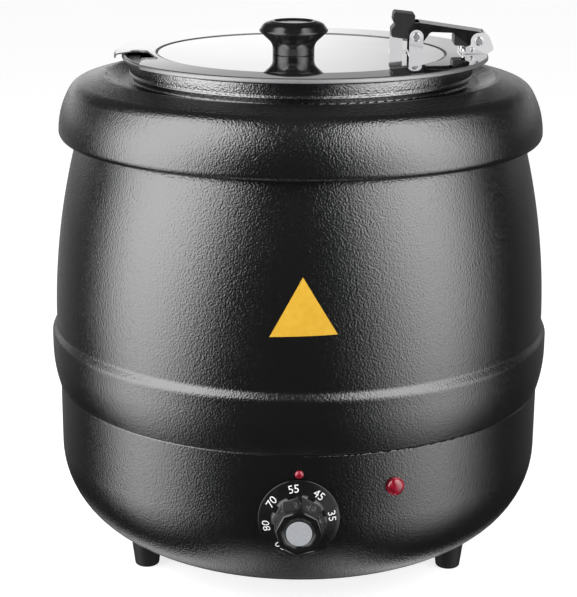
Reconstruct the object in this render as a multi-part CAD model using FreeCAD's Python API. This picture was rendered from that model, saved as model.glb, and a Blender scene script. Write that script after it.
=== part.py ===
import FreeCAD, Part
import math
import os

# Free-standing soup kettle, in millimetres. +Z is up, the front with the dial faces -Y,
# the lid hinge is at +X, and the origin is on the floor under the centre of the body.

Vector = FreeCAD.Vector
UP = Vector(0, 0, 1)
RIGHT = Vector(1, 0, 0)
BACK = Vector(0, 1, 0)
FRONT = Vector(0, -1, 0)
front_angle = -90
rear_angle = 90
hex_sides = 6

# Shorter steps than this between two arcs count as none
tiny = 1e-6

# Fits and clearances
loose_fit = 0.3
close_fit = 0.1
running_fit = 0.06
seat_gap = 0.2

# Heights, stacked from the floor
foot_height = 16.0
bowl_height = 104.5
barrel_height = 165.5
collar_rise = 41.5
neck_rise = 9.5

# Body shells
shell_wall = 0.8
bowl_radius = 163.5
bowl_round = 60.0
bowl_opening = 78.0
seam_step = 2.2
seam_round = 1.2
lip_height = 10.0
band_radius = 168.0
band_foot_out = 0.8
band_foot_round = 1.5
band_swell = 9.0
band_lower_round = 9.0
band_height = 35.5
band_upper_round = 5.0
band_fade = 4.5
band_fade_round = 4.0
barrel_radius = 165.0
barrel_arc_radius = 465.0
barrel_arc_rise = 1.8
collar_radius = 160.0
collar_edge_round = 5.0
collar_side = 19.0
collar_side_round = 52.0
collar_shoulder_radius = 150.0
collar_shoulder_drop = 6.0
collar_shoulder_round = 12.0
collar_crest_radius = 129.0
collar_crest_round = 6.0
collar_valley_width = 7.5
collar_valley_drop = 5.0
collar_valley_round = 4.0
upstand_round = 2.0

# Pot, water well and neck
pot_radius = 105.0
pot_wall = 0.7
pot_depth = 275.0
pot_round = 25.0
pot_flange_width = 11.2
pot_flange_round = 1.5
pot_bead_radius = 1.5
water_gap = 2.5
well_wall = 0.6
well_round = 18.0
water_depth_under_pot = 16.0
well_flange_width = 2.3
well_flange_round = 1.0
neck_wall = 1.8
neck_top_wall = 3.0
neck_skirt = 9.2
neck_inner_wall = 1.0
neck_inner_skirt = 8.0
neck_round = 1.5
neck_lip_round = 0.8

# Feet, tie rods and base plate
foot_count = 3
foot_circle_radius = 118.0
first_foot_angle = 90.0
foot_floor_radius = 8.0
foot_top_radius = 11.0
foot_cone_height = 24.0
foot_edge_round = 1.5
foot_recess_depth = 7.0
rod_radius = 2.5
rod_nut_flats = 8.0
rod_nut_height = 4.0
rod_end_stand = 1.0
base_plate_overlap = 10.0
base_plate_wall = 1.0
base_screw_count = 4
base_screw_radius = 2.0
base_screw_length = 5.0
base_screw_head_radius = 3.8
base_screw_head_height = 2.2
vent_count = 8
vent_length = 26.0
vent_width = 5.0
vent_circle_radius = 48.0

# Heating and control pieces inside the bowl
element_circle_radius = 70.0
element_tube_radius = 4.0
element_gap_place = 90.0
element_gap_angle = 24.0
element_bend_radius = 9.0
element_leg = 8.0
clamp_length = 160.0
clamp_width = 16.0
clamp_wall = 2.0
stud_radius = 3.0
stud_tail = 3.0
stud_nut_flats = 10.0
stud_nut_height = 5.0
cutout_place = 34.0
cutout_flange_radius = 11.0
cutout_flange_wall = 1.5
cutout_body_radius = 7.5
cutout_body_height = 9.0
bulb_place = -32.0
bulb_radius = 3.0
bulb_length = 64.0
clip_wall = 0.8
clip_width = 10.0
clip_tab_length = 8.0
capillary_radius = 1.0
capillary_exit_x = 12.0
capillary_exit_length = 13.0
capillary_low = 30.0
capillary_side_x = 48.0
capillary_turn_y = -62.0
capillary_bend = 6.0
terminal_angle = 135.0
terminal_length = 36.0
terminal_depth = 18.0
terminal_height = 16.0
terminal_ways = 3
terminal_hole_radius = 2.4
terminal_round = 1.5

# Thermostat and dial
dial_height_on_body = 80.0
dial_radius = 25.0
dial_rim = 1.2
dial_skirt = 5.0
dial_skirt_round = 0.6
dial_gap = 0.6
grip_sides = 8
grip_base_flats = 30.0
grip_top_flats = 27.0
grip_height = 19.0
grip_edge = 0.8
dial_cap_radius = 7.8
dial_cap_recess = 1.2
dial_cap_stand = 0.3
shaft_radius = 3.0
shaft_in_dial = 14.0
shaft_in_thermostat = 12.0
bush_radius = 4.8
thermostat_width = 34.0
thermostat_tall = 38.0
thermostat_deep = 28.0
thermostat_plate_wall = 1.6
thermostat_plate_tall = 30.0
thermostat_screw_spacing = 28.0
thermostat_screw_radius = 1.9
thermostat_screw_head_radius = 3.4
thermostat_screw_head_height = 2.0
thermostat_screw_length = 5.0
thermostat_round = 3.0

# Lamps
lamp_angle = -69.0
lamp_height_on_body = 96.5
lamp_lens_radius = 6.0
lamp_lens_rim = 1.4
lamp_lens_dome = 3.2
lamp_body_radius = 5.0
lamp_body_length = 24.0
lamp_clip_radius = 8.0
lamp_clip_wall = 1.6
index_height_on_body = 108.0
index_radius = 2.7
index_rise = 2.0
index_stem_radius = 1.6
index_stem_length = 5.0

# Cord gland, with no cord in it
gland_height_on_body = 85.0
gland_bore_radius = 4.2
gland_thread_radius = 8.0
gland_flange_flats = 22.0
gland_flange_wall = 5.0
gland_dome_radius = 10.0
gland_dome_length = 19.8
gland_dome_round = 4.0
gland_tail = 9.0
gland_nut_flats = 22.0
gland_nut_wall = 5.0

# Lid ring, with the ladle notch
ring_radius = 122.7
ring_sheet = 0.9
ring_drop = 4.2
ring_rim_round = 2.5
ring_slope = 0.5
ring_step_round = 0.7
ring_ledge_width = 7.0
ring_step_lean = 0.6
notch_angle = 194.0
notch_half_width = 19.5
notch_flare = 3.0
notch_flare_round = 8.0
notch_depth = 21.5

# Lid disc and knob
disc_radius = 98.6
disc_wall = 1.0
disc_recess = 1.5
disc_edge_round = 0.3
knob_place = -5.0
knob_stem_radius = 13.7
knob_stem_height = 6.5
knob_flare_round = 16.0
knob_radius = 22.8
knob_rim_height = 17.4
knob_rim_round = 0.8
knob_top_radius = 15.2
knob_height = 23.6
knob_top_round = 1.0
knob_dish_radius = 13.4
knob_dish_depth = 1.0
knob_base_round = 0.6
knob_screw_radius = 2.5
knob_screw_depth = 10.0
knob_screw_head_radius = 5.0
knob_screw_head_height = 2.4

# Lid hinge: bracket on the ring, arm, clevis on the disc and release lever
hinge_reach = 115.7
hinge_rise = 8.2
hinge_half_width = 12.0
hinge_sheet = 1.5
pin_radius = 2.0
pin_head_radius = 3.0
pin_head_wall = 1.1
bracket_toe = 11.5
bracket_heel = 5.0
bracket_lobe_radius = 5.4
bracket_lean = 10.3
bracket_elbow_drop = 5.8
stop_pin_radius = 1.0
stop_pin_head_radius = 1.7
stop_pin_toe = 4.3
stop_pin_rise = 2.6
rivet_radius = 1.5
rivet_head_radius = 2.0
rivet_head_wall = 0.9
bracket_rivet_inset = 7.4
arm_sheet = 1.2
arm_reach = 40.8
arm_crown_left = 9.2
arm_crown_right = 5.6
arm_eye_radius = 4.2
arm_flange_depth = 5.0
arm_waist_drop = 1.7
arm_neck_reach = 9.2
arm_neck_drop = 1.2
arm_mouth = 2.2
arm_waist_reach = 16.5
arm_round = 3.0
block_reach = 16.0
block_heel = 3.3
block_below = 3.4
block_above = 3.4
block_round = 1.5
clevis_pin_rise = 12.2
clevis_ear_half = 4.5
clevis_toe = 16.4
clevis_heel = 7.0
clevis_ledge_start = 7.0
clevis_ledge_rise = 4.0
clevis_ledge_half_width = 7.2
clevis_rivet_toe = 13.0
clevis_rivet_heel = 3.0
clevis_rivet_half_front = 5.6
lever_half_width = 8.4
lever_boss_radius = 4.4
lever_toe = 16.2
lever_base_drop = 3.6
lever_body_rise = 6.6
lever_step = 2.2
lever_tab_rise = 15.6
lever_tab_start = 8.8
lever_tab_thick = 14.8
lever_round = 1.5

# Heights and radii that follow from the sizes above
seam_height = foot_height + bowl_height
collar_edge_height = seam_height + barrel_height
crest_height = collar_edge_height + collar_rise
rim_height = crest_height + neck_rise
well_inner_radius = pot_radius + water_gap
well_radius = well_inner_radius + well_wall
upstand_radius = well_radius + well_flange_round + shell_wall
upstand_height = rim_height - neck_top_wall - seat_gap - well_wall
valley_height = crest_height - collar_valley_drop
neck_inner_radius = well_radius + well_flange_width + loose_fit
neck_radius = neck_inner_radius + neck_wall
pot_floor_height = rim_height - pot_depth
well_floor_height = pot_floor_height - water_depth_under_pot
flange_edge_radius = pot_radius + pot_flange_width
bead_top_height = rim_height + 2 * pot_bead_radius
ring_step_radius = disc_radius + loose_fit + ring_step_lean + ring_sheet
slope_at_bead = ring_slope * (ring_radius - flange_edge_radius) / (ring_radius - ring_step_radius)
ring_top_height = bead_top_height + seat_gap + ring_sheet + slope_at_bead
disc_top_height = ring_top_height - disc_recess
disc_under_height = disc_top_height - disc_wall
hinge_height = ring_top_height + hinge_rise
hinge_point = Vector(hinge_reach, 0, hinge_height)
clevis_x = hinge_reach - arm_reach
clevis_height = disc_top_height + clevis_pin_rise
clevis_point = Vector(clevis_x, 0, clevis_height)
hinge_inner = hinge_half_width - hinge_sheet
arm_half_width = hinge_inner - loose_fit
dial_face = bowl_radius + dial_gap
bowl_inner_radius = bowl_radius - shell_wall
bowl_floor_height = foot_height + shell_wall


def save(name, *solids):
    for solid in solids:
        if not solid.isValid() or len(solid.Solids) != 1:
            print("check", name, solid.isValid(), len(solid.Solids))
    shape = solids[0] if len(solids) == 1 else Part.Compound(list(solids))
    shape.exportStep("parts/" + name + ".step")


# A profile is a list of corners in the XZ plane: (x, z) or (x, z, rounding radius).
def rounded_edges(corners, closed):
    points = [Vector(corner[0], 0, corner[1]) for corner in corners]
    count = len(points)
    entries, exits, arcs = [], [], []
    for index, corner in enumerate(corners):
        at = points[index]
        is_end = not closed and index in (0, count - 1)
        radius = corner[2] if len(corner) > 2 and not is_end else 0
        entry = leave = at
        arc = None
        if radius > 0:
            back = (points[index - 1] - at).normalize()
            ahead = (points[(index + 1) % count] - at).normalize()
            half = back.getAngle(ahead) / 2
            entry = at + back * (radius / math.tan(half))
            leave = at + ahead * (radius / math.tan(half))
            inward = (back + ahead).normalize()
            middle = at + inward * (radius / math.sin(half) - radius)
            arc = Part.Arc(entry, middle, leave).toShape()
        entries.append(entry)
        exits.append(leave)
        arcs.append(arc)
    edges = []
    for index in range(count):
        if arcs[index]:
            edges.append(arcs[index])
        following = (index + 1) % count
        if closed or following:
            gap = entries[following] - exits[index]
            if gap.Length > tiny:
                edges.append(Part.LineSegment(exits[index], entries[following]).toShape())
    return edges


def profile_face(corners):
    return Part.Face(Part.Wire(rounded_edges(corners, True)))


def turned(corners):
    return profile_face(corners).revolve(Vector(), UP, 360)


# The same profile moved to its left-hand side by one wall.
def inner_corners(corners, wall):
    count = len(corners)
    ways = []
    for index in range(count - 1):
        dx = corners[index + 1][0] - corners[index][0]
        dz = corners[index + 1][1] - corners[index][1]
        length = math.hypot(dx, dz)
        ways.append((dx / length, dz / length))
    moved = []
    for index, corner in enumerate(corners):
        before = ways[max(index - 1, 0)]
        after = ways[min(index, count - 2)]
        share = wall / (1 + before[0] * after[0] + before[1] * after[1])
        x = corner[0] - (before[1] + after[1]) * share
        z = corner[1] + (before[0] + after[0]) * share
        turn = before[0] * after[1] - before[1] * after[0]
        radius = corner[2] if len(corner) > 2 else 0
        if radius:
            radius = radius - math.copysign(wall, turn)
        moved.append((x, z, max(radius, 0)))
    return moved


# A pressed sheet: the corners give its outer side, the wall lies to their left.
def pressed(corners, wall):
    inner = inner_corners(corners, wall)
    outer_edges = rounded_edges(corners, False)
    inner_edges = rounded_edges(list(reversed(inner)), False)
    first, last = corners[0], corners[-1]
    end_cap = Part.LineSegment(Vector(last[0], 0, last[1]), Vector(inner[-1][0], 0, inner[-1][1]))
    start_cap = Part.LineSegment(Vector(inner[0][0], 0, inner[0][1]), Vector(first[0], 0, first[1]))
    wire = Part.Wire(outer_edges + [end_cap.toShape()] + inner_edges + [start_cap.toShape()])
    return Part.Face(wire).revolve(Vector(), UP, 360)


# An XZ profile carried along Y from one place to another.
def plate(corners, y_from, y_to):
    face = profile_face(corners)
    face.translate(Vector(0, y_from, 0))
    return face.extrude(Vector(0, y_to - y_from, 0))


def rod(start, way, radius, length):
    return Part.makeCylinder(radius, length, start, way)


def block(low, high):
    return Part.makeBox(high[0] - low[0], high[1] - low[1], high[2] - low[2], Vector(*low))


def around(angle, radius, height):
    turn = math.radians(angle)
    return Vector(radius * math.cos(turn), radius * math.sin(turn), height)


def outward(angle):
    return around(angle, 1, 0)


def hexagon(centre, flats, height):
    return polygon_prism(centre, hex_sides, flats, height)


def polygon_wire(centre, sides, flats):
    corner_radius = flats / 2 / math.cos(math.pi / sides)
    corners = []
    for index in range(sides + 1):
        turn = math.pi * (2 * index + 1) / sides
        corners.append(centre + Vector(corner_radius * math.cos(turn), corner_radius * math.sin(turn), 0))
    return Part.makePolygon(corners)


def polygon_prism(centre, sides, flats, height):
    return Part.Face(polygon_wire(centre, sides, flats)).extrude(Vector(0, 0, height))


# Lays a piece that was built on +Z onto a radial line of the body.
def laid_out(solid, angle, radius, height):
    solid = solid.copy()
    solid.rotate(Vector(), BACK, 90)
    solid.rotate(Vector(), UP, angle)
    solid.translate(around(angle, radius, height))
    return solid


# A tube along straight runs joined by tangent arcs of one bend radius.
def bent_tube(points, bend, radius):
    edges = []
    start = points[0]
    for index in range(1, len(points) - 1):
        at = points[index]
        back = (points[index - 1] - at).normalize()
        ahead = (points[index + 1] - at).normalize()
        half = back.getAngle(ahead) / 2
        entry = at + back * (bend / math.tan(half))
        leave = at + ahead * (bend / math.tan(half))
        middle = at + (back + ahead).normalize() * (bend / math.sin(half) - bend)
        edges.append(Part.LineSegment(start, entry).toShape())
        edges.append(Part.Arc(entry, middle, leave).toShape())
        start = leave
    edges.append(Part.LineSegment(start, points[-1]).toShape())
    path = Part.Wire(edges)
    section = Part.Wire(Part.makeCircle(radius, points[0], points[1] - points[0]))
    return path.makePipeShell([section], True, True)


foot_angles = [first_foot_angle + 360 / foot_count * index for index in range(foot_count)]


# Body shells

def bowl_outer_solid():
    return turned([
        (0, foot_height),
        (bowl_radius, foot_height, bowl_round),
        (bowl_radius, seam_height),
        (0, seam_height),
    ])


def base_bowl():
    lip_radius = bowl_radius - seam_step
    shell = pressed([
        (bowl_opening, foot_height),
        (bowl_radius, foot_height, bowl_round),
        (bowl_radius, seam_height, seam_round),
        (lip_radius, seam_height),
        (lip_radius, seam_height + lip_height),
    ], shell_wall)
    reach = bowl_inner_radius / 2
    span = bowl_radius
    holes = [
        rod(Vector(0, -reach, dial_height_on_body), FRONT, bush_radius + close_fit, span),
        rod(Vector(0, -reach, index_height_on_body), FRONT, index_stem_radius + close_fit, span),
        rod(Vector(0, reach, gland_height_on_body), BACK, gland_thread_radius + close_fit, span),
        rod(around(lamp_angle, reach, lamp_height_on_body), outward(lamp_angle),
            lamp_body_radius + close_fit, span),
    ]
    for side in (-1, 1):
        screw_at = Vector(0, -reach, dial_height_on_body + side * thermostat_screw_spacing / 2)
        holes.append(rod(screw_at, FRONT, thermostat_screw_radius + close_fit, span))
    for angle in foot_angles:
        holes.append(rod(around(angle, foot_circle_radius, 0), UP, rod_radius + close_fit, seam_height))
    for place in base_screw_places():
        holes.append(rod(place, UP, base_screw_radius + close_fit, bowl_floor_height))
    return shell.cut(holes)


def body_barrel():
    foot_radius = bowl_radius + band_foot_out
    band_top = seam_height + band_height
    fade_top = band_top + band_fade
    arc_start = fade_top + barrel_arc_rise
    sweep = math.asin((crest_height - arc_start) / barrel_arc_radius)
    corner_height = arc_start + barrel_arc_radius * math.tan(sweep / 2)
    shell = pressed([
        (bowl_radius - seam_step + loose_fit, seam_height),
        (foot_radius, seam_height, band_foot_round),
        (band_radius, seam_height + band_swell, band_lower_round),
        (band_radius, band_top, band_upper_round),
        (barrel_radius, fade_top, band_fade_round),
        (barrel_radius, corner_height, barrel_arc_radius),
        (barrel_radius - barrel_arc_radius * (1 - math.cos(sweep)), crest_height),
    ], shell_wall)
    return shell.cut(collar_underside())


def barrel_radius_at(height):
    arc_start = seam_height + band_height + band_fade + barrel_arc_rise
    return barrel_radius - barrel_arc_radius + math.sqrt(barrel_arc_radius ** 2 - (height - arc_start) ** 2)


# Everything above the collar's under side, for trimming the barrel's top edge to it.
def collar_underside():
    shoulder_height = crest_height - collar_shoulder_drop
    run = collar_shoulder_radius - collar_crest_radius
    slope = collar_shoulder_drop / run
    drop = shell_wall * math.hypot(1, slope) + seat_gap
    low_radius = collar_shoulder_radius
    return turned([
        (collar_crest_radius, crest_height - drop),
        (low_radius, shoulder_height - drop),
        (low_radius, rim_height),
        (collar_crest_radius, rim_height),
    ])


def shoulder_collar():
    shoulder_height = crest_height - collar_shoulder_drop
    valley_radius = upstand_radius + collar_valley_width
    lip_radius = barrel_radius_at(collar_edge_height) + loose_fit
    shell = pressed([
        (lip_radius, collar_edge_height),
        (collar_radius, collar_edge_height, collar_edge_round),
        (collar_radius, collar_edge_height + collar_side, collar_side_round),
        (collar_shoulder_radius, shoulder_height, collar_shoulder_round),
        (collar_crest_radius, crest_height, collar_crest_round),
        (valley_radius, valley_height, collar_valley_round),
        (upstand_radius, valley_height, upstand_round),
        (upstand_radius, upstand_height),
    ], shell_wall)
    return shell


def neck_ring():
    lip_height = rim_height - neck_skirt
    inner_edge = well_inner_radius - loose_fit
    bore = inner_edge - neck_inner_wall
    under = rim_height - neck_top_wall
    return turned([
        (neck_inner_radius, lip_height),
        (neck_radius, lip_height, neck_lip_round),
        (neck_radius, rim_height, neck_round),
        (bore, rim_height, neck_inner_wall / 2),
        (bore, rim_height - neck_inner_skirt),
        (inner_edge, rim_height - neck_inner_skirt),
        (inner_edge, under),
        (neck_inner_radius, under),
    ])


def water_well():
    return pressed([
        (0, well_floor_height),
        (well_radius, well_floor_height, well_round),
        (well_radius, upstand_height, well_flange_round),
        (well_radius + well_flange_width, upstand_height),
    ], well_wall)


# Feet, tie rods and base plate

def foot(angle):
    cone = turned([
        (0, 0),
        (foot_floor_radius, 0, foot_edge_round),
        (foot_top_radius, foot_cone_height),
        (0, foot_cone_height),
    ])
    cone.translate(around(angle, foot_circle_radius, 0))
    recess_radius = rod_nut_flats / 2 / math.cos(math.pi / hex_sides) + loose_fit
    axis_foot = around(angle, foot_circle_radius, 0)
    recess = rod(axis_foot, UP, recess_radius, foot_recess_depth)
    bore = rod(axis_foot, UP, rod_radius + close_fit, foot_cone_height)
    return cone.cut([bowl_outer_solid(), recess, bore])


def tie_rod(angle):
    low = foot_recess_depth - rod_nut_height - rod_end_stand
    high = valley_height - shell_wall - seat_gap
    return rod(around(angle, foot_circle_radius, low), UP, rod_radius, high - low)


def rod_nut(angle, low):
    nut = hexagon(around(angle, foot_circle_radius, low), rod_nut_flats, rod_nut_height)
    hole = rod(around(angle, foot_circle_radius, 0), UP, rod_radius + close_fit, rim_height)
    return nut.cut(hole)


def base_screw_places():
    radius = bowl_opening + base_plate_overlap / 2
    return [around(360 / base_screw_count * index, radius, 0) for index in range(base_screw_count)]


def base_plate():
    top = foot_height
    disc = rod(Vector(0, 0, top - base_plate_wall), UP, bowl_opening + base_plate_overlap, base_plate_wall)
    holes = [rod(place, UP, base_screw_radius + close_fit, rim_height) for place in base_screw_places()]
    half = vent_width / 2
    reach = vent_length / 2
    for index in range(vent_count):
        slot = profile_face([
            (-reach, -half, half),
            (reach, -half, half),
            (reach, half, half),
            (-reach, half, half),
        ]).extrude(Vector(0, foot_height, 0))
        slot.rotate(Vector(), RIGHT, 90)
        slot.translate(Vector(vent_circle_radius, 0, 0))
        slot.rotate(Vector(), UP, 360 / vent_count * (index + 0.5))
        holes.append(slot)
    return disc.cut(holes)


def base_screw(place):
    head_top = foot_height - base_plate_wall
    head = rod(place + UP * (head_top - base_screw_head_height), UP, base_screw_head_radius,
               base_screw_head_height)
    shank = rod(place + UP * head_top, UP, base_screw_radius, base_screw_length)
    return head.fuse(shank).removeSplitter()


# Heating pieces under the water well

def heating_element():
    height = well_floor_height - element_tube_radius - close_fit
    half_gap = element_gap_angle / 2
    start_angle = element_gap_place + half_gap
    end_angle = element_gap_place + 360 - half_gap
    middle_angle = element_gap_place + 180
    ring_arc = Part.Arc(around(start_angle, element_circle_radius, height),
                        around(middle_angle, element_circle_radius, height),
                        around(end_angle, element_circle_radius, height)).toShape()
    edges = element_leg_edges(start_angle, -1, height)
    edges.reverse()
    edges.append(ring_arc)
    edges += element_leg_edges(end_angle, 1, height)
    path = Part.Wire(Part.__sortEdges__(edges))
    leg_foot = element_leg_foot(start_angle, -1, height)
    section = Part.Wire(Part.makeCircle(element_tube_radius, leg_foot, UP))
    return path.makePipeShell([section], True, True)


def element_leg_foot(angle, turn_way, height):
    along = around(angle + 90, turn_way, 0)
    corner = around(angle, element_circle_radius, height) + along * element_bend_radius
    return corner - UP * (element_bend_radius + element_leg)


def element_leg_edges(angle, turn_way, height):
    at = around(angle, element_circle_radius, height)
    along = around(angle + 90, turn_way, 0)
    centre = at - UP * element_bend_radius
    middle = centre + (along + UP).normalize() * element_bend_radius
    low = centre + along * element_bend_radius
    foot_end = low - UP * element_leg
    return [Part.Arc(at, middle, low).toShape(), Part.LineSegment(low, foot_end).toShape()]


def clamp_height():
    return well_floor_height - 2 * element_tube_radius - 2 * close_fit - clamp_wall


def element_clamp():
    low = clamp_height()
    bar = block((-clamp_length / 2, -clamp_width / 2, low),
                (clamp_length / 2, clamp_width / 2, low + clamp_wall))
    return bar.cut(rod(Vector(0, 0, low), UP, stud_radius + close_fit, clamp_wall))


def clamp_stud():
    low = clamp_height() - stud_nut_height - stud_tail
    return rod(Vector(0, 0, low), UP, stud_radius, well_floor_height - low)


def clamp_nut():
    low = clamp_height() - stud_nut_height
    nut = hexagon(Vector(0, 0, low), stud_nut_flats, stud_nut_height)
    return nut.cut(rod(Vector(), UP, stud_radius + close_fit, rim_height))


def thermal_cutout():
    centre = Vector(0, cutout_place, well_floor_height)
    flange = rod(centre, UP * -1, cutout_flange_radius, cutout_flange_wall)
    can = rod(centre, UP * -1, cutout_body_radius, cutout_flange_wall + cutout_body_height)
    return flange.fuse(can).removeSplitter()


def bulb_height():
    return well_floor_height - bulb_radius - close_fit


def thermostat_bulb():
    start = Vector(-bulb_length / 2, bulb_place, bulb_height())
    return rod(start, RIGHT, bulb_radius, bulb_length)


# A strap that holds the bulb up against the well's floor.
def bulb_clip():
    strap_radius = bulb_radius + close_fit + clip_wall
    low = Vector(-clip_width / 2, bulb_place, bulb_height())
    strap = rod(low, RIGHT, strap_radius, clip_width)
    cheek = block((-clip_width / 2, bulb_place - strap_radius, bulb_height()),
                  (clip_width / 2, bulb_place + strap_radius, well_floor_height))
    tab_top = well_floor_height
    tab = block((-clip_width / 2, bulb_place - strap_radius - clip_tab_length, tab_top - clip_wall),
                (clip_width / 2, bulb_place - bulb_radius, tab_top))
    hollow = rod(low, RIGHT, bulb_radius + close_fit, clip_width)
    throat = block((-clip_width / 2, bulb_place - bulb_radius - close_fit, bulb_height()),
                   (clip_width / 2, bulb_place + bulb_radius + close_fit, well_floor_height + strap_radius))
    return strap.fuse([cheek, tab]).cut([hollow, throat]).removeSplitter()


def capillary():
    thermostat_back = thermostat_plate_wall + thermostat_deep - thermostat_front()
    drop_y = thermostat_back + capillary_exit_length
    bulb_end = bulb_length / 2
    points = [
        Vector(capillary_exit_x, thermostat_back, dial_height_on_body),
        Vector(capillary_exit_x, drop_y, dial_height_on_body),
        Vector(capillary_exit_x, drop_y, capillary_low),
        Vector(capillary_side_x, capillary_turn_y, capillary_low),
        Vector(capillary_side_x, bulb_place, capillary_low),
        Vector(capillary_side_x, bulb_place, bulb_height()),
        Vector(bulb_end, bulb_place, bulb_height()),
    ]
    return bent_tube(points, capillary_bend, capillary_radius)


def terminal_block():
    half = terminal_length / 2
    pitch = terminal_length / terminal_ways
    body = block((-terminal_depth / 2, -half, 0), (terminal_depth / 2, half, terminal_height))
    upright_edges = [edge for edge in body.Edges if edge.BoundBox.ZLength > terminal_round]
    body = body.makeFillet(terminal_round, upright_edges)
    for index in range(terminal_ways):
        way = -half + pitch * (index + 0.5)
        hole = rod(Vector(-terminal_depth, way, terminal_height / 2), RIGHT, terminal_hole_radius,
                   2 * terminal_depth)
        body = body.cut(hole)
    body.rotate(Vector(), UP, terminal_angle)
    flat_middle = bowl_opening + terminal_depth / 2 + loose_fit
    body.translate(around(terminal_angle, flat_middle, bowl_floor_height))
    return body


# Thermostat and dial, on a horizontal axis at the front

# The inside of the bowl at a height, on the straight wall or on the rounded foot.
def bowl_inside_at(height):
    below = max(foot_height + bowl_round - height, 0)
    round_inside = bowl_round - shell_wall
    return bowl_radius - bowl_round + math.sqrt(round_inside ** 2 - below ** 2)


def thermostat_front():
    inside = bowl_inside_at(dial_height_on_body - thermostat_tall / 2)
    return math.sqrt(inside ** 2 - (thermostat_width / 2) ** 2) - close_fit


def thermostat_body():
    front = -thermostat_front()
    back = front + thermostat_plate_wall
    half = thermostat_width / 2
    half_tall = thermostat_tall / 2
    height = dial_height_on_body
    case = plate([
        (-half, height - half_tall, thermostat_round),
        (half, height - half_tall, thermostat_round),
        (half, height + half_tall, thermostat_round),
        (-half, height + half_tall, thermostat_round),
    ], back, back + thermostat_deep)
    face_plate = plate([
        (-half, height - half_tall, thermostat_round),
        (half, height - half_tall, thermostat_round),
        (half, height + half_tall, thermostat_round),
        (-half, height + half_tall, thermostat_round),
    ], front, back)
    bush = rod(Vector(0, front, height), FRONT, bush_radius, bowl_radius + front)
    hole = rod(Vector(0, front + shaft_in_thermostat, height), FRONT, shaft_radius + running_fit, bowl_radius)
    body = case.fuse([face_plate, bush]).cut(hole)
    for side in (-1, 1):
        screw_at = Vector(0, front, height + side * thermostat_screw_spacing / 2)
        body = body.cut(rod(screw_at, BACK, thermostat_screw_radius + close_fit,
                            thermostat_screw_length + loose_fit))
    return body.removeSplitter()


def thermostat_screw(side):
    at = Vector(0, -bowl_radius, dial_height_on_body + side * thermostat_screw_spacing / 2)
    head = rod(at, FRONT, thermostat_screw_head_radius, thermostat_screw_head_height)
    shank = rod(at, BACK, thermostat_screw_radius, thermostat_screw_length)
    return head.fuse(shank).removeSplitter()


# Turning pieces are built upright on the origin and then laid towards the front.
def faced_front(solid):
    return laid_out(solid, front_angle, dial_face, dial_height_on_body)


def dial_solid():
    skirt = turned([
        (0, 0),
        (dial_radius, 0),
        (dial_radius, dial_rim, dial_skirt_round),
        (grip_base_flats / 2, dial_skirt),
        (0, dial_skirt),
    ])
    base = polygon_wire(Vector(0, 0, dial_rim), grip_sides, grip_base_flats)
    top = polygon_wire(Vector(0, 0, dial_skirt + grip_height), grip_sides, grip_top_flats)
    grip = Part.makeLoft([base, top], True, True)
    top_edges = [edge for edge in grip.Edges if edge.BoundBox.ZMin > dial_skirt + grip_height - grip_edge]
    grip = grip.makeChamfer(grip_edge, top_edges)
    cap_seat = rod(Vector(0, 0, dial_skirt + grip_height - dial_cap_recess), UP,
                   dial_cap_radius + close_fit, dial_cap_recess)
    shaft_hole = rod(Vector(0, 0, -dial_rim), UP, shaft_radius + close_fit, shaft_in_dial + dial_rim)
    screw_groove = turned([
        (thermostat_screw_spacing / 2 - thermostat_screw_head_radius - loose_fit, 0),
        (thermostat_screw_spacing / 2 + thermostat_screw_head_radius + loose_fit, 0),
        (thermostat_screw_spacing / 2 + thermostat_screw_head_radius + loose_fit, dial_skirt / 2),
        (thermostat_screw_spacing / 2 - thermostat_screw_head_radius - loose_fit, dial_skirt / 2),
    ])
    return skirt.fuse(grip).cut([cap_seat, shaft_hole, screw_groove]).removeSplitter()


def dial_cap():
    low = dial_skirt + grip_height - dial_cap_recess
    return turned([
        (0, low),
        (dial_cap_radius, low),
        (dial_cap_radius, low + dial_cap_recess + dial_cap_stand, dial_cap_stand),
        (0, low + dial_cap_recess + dial_cap_stand),
    ])


def thermostat_shaft():
    end = thermostat_front() - shaft_in_thermostat + loose_fit
    length = dial_face + shaft_in_dial - loose_fit - end
    return rod(Vector(0, -end, dial_height_on_body), FRONT, shaft_radius, length)


# Lamps

def lamp_lens():
    lens = turned([
        (0, 0),
        (lamp_lens_radius, 0),
        (lamp_lens_radius, lamp_lens_rim, lamp_lens_rim / 2),
        (lamp_lens_radius / 2, lamp_lens_rim + lamp_lens_dome, lamp_lens_dome),
        (0, lamp_lens_rim + lamp_lens_dome),
    ])
    return laid_out(lens, lamp_angle, bowl_radius + close_fit, lamp_height_on_body)


def lamp_body():
    inner = bowl_radius - lamp_body_length
    return rod(around(lamp_angle, inner, lamp_height_on_body), outward(lamp_angle), lamp_body_radius,
               lamp_body_length + close_fit)


def lamp_clip():
    sag = bowl_inner_radius - math.sqrt(bowl_inner_radius ** 2 - lamp_clip_radius ** 2)
    face = bowl_inner_radius - sag - close_fit
    ring = rod(around(lamp_angle, face - lamp_clip_wall, lamp_height_on_body), outward(lamp_angle),
               lamp_clip_radius, lamp_clip_wall)
    hole = rod(around(lamp_angle, 0, lamp_height_on_body), outward(lamp_angle),
               lamp_body_radius + close_fit, bowl_radius)
    return ring.cut(hole)


def index_lens():
    bead = turned([
        (0, -index_stem_length),
        (index_stem_radius, -index_stem_length),
        (index_stem_radius, close_fit),
        (index_radius, close_fit),
        (index_radius, index_rise, index_rise / 2),
        (0, index_rise),
    ])
    return laid_out(bead, front_angle, bowl_radius, index_height_on_body)


# Cord gland at the back

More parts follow.
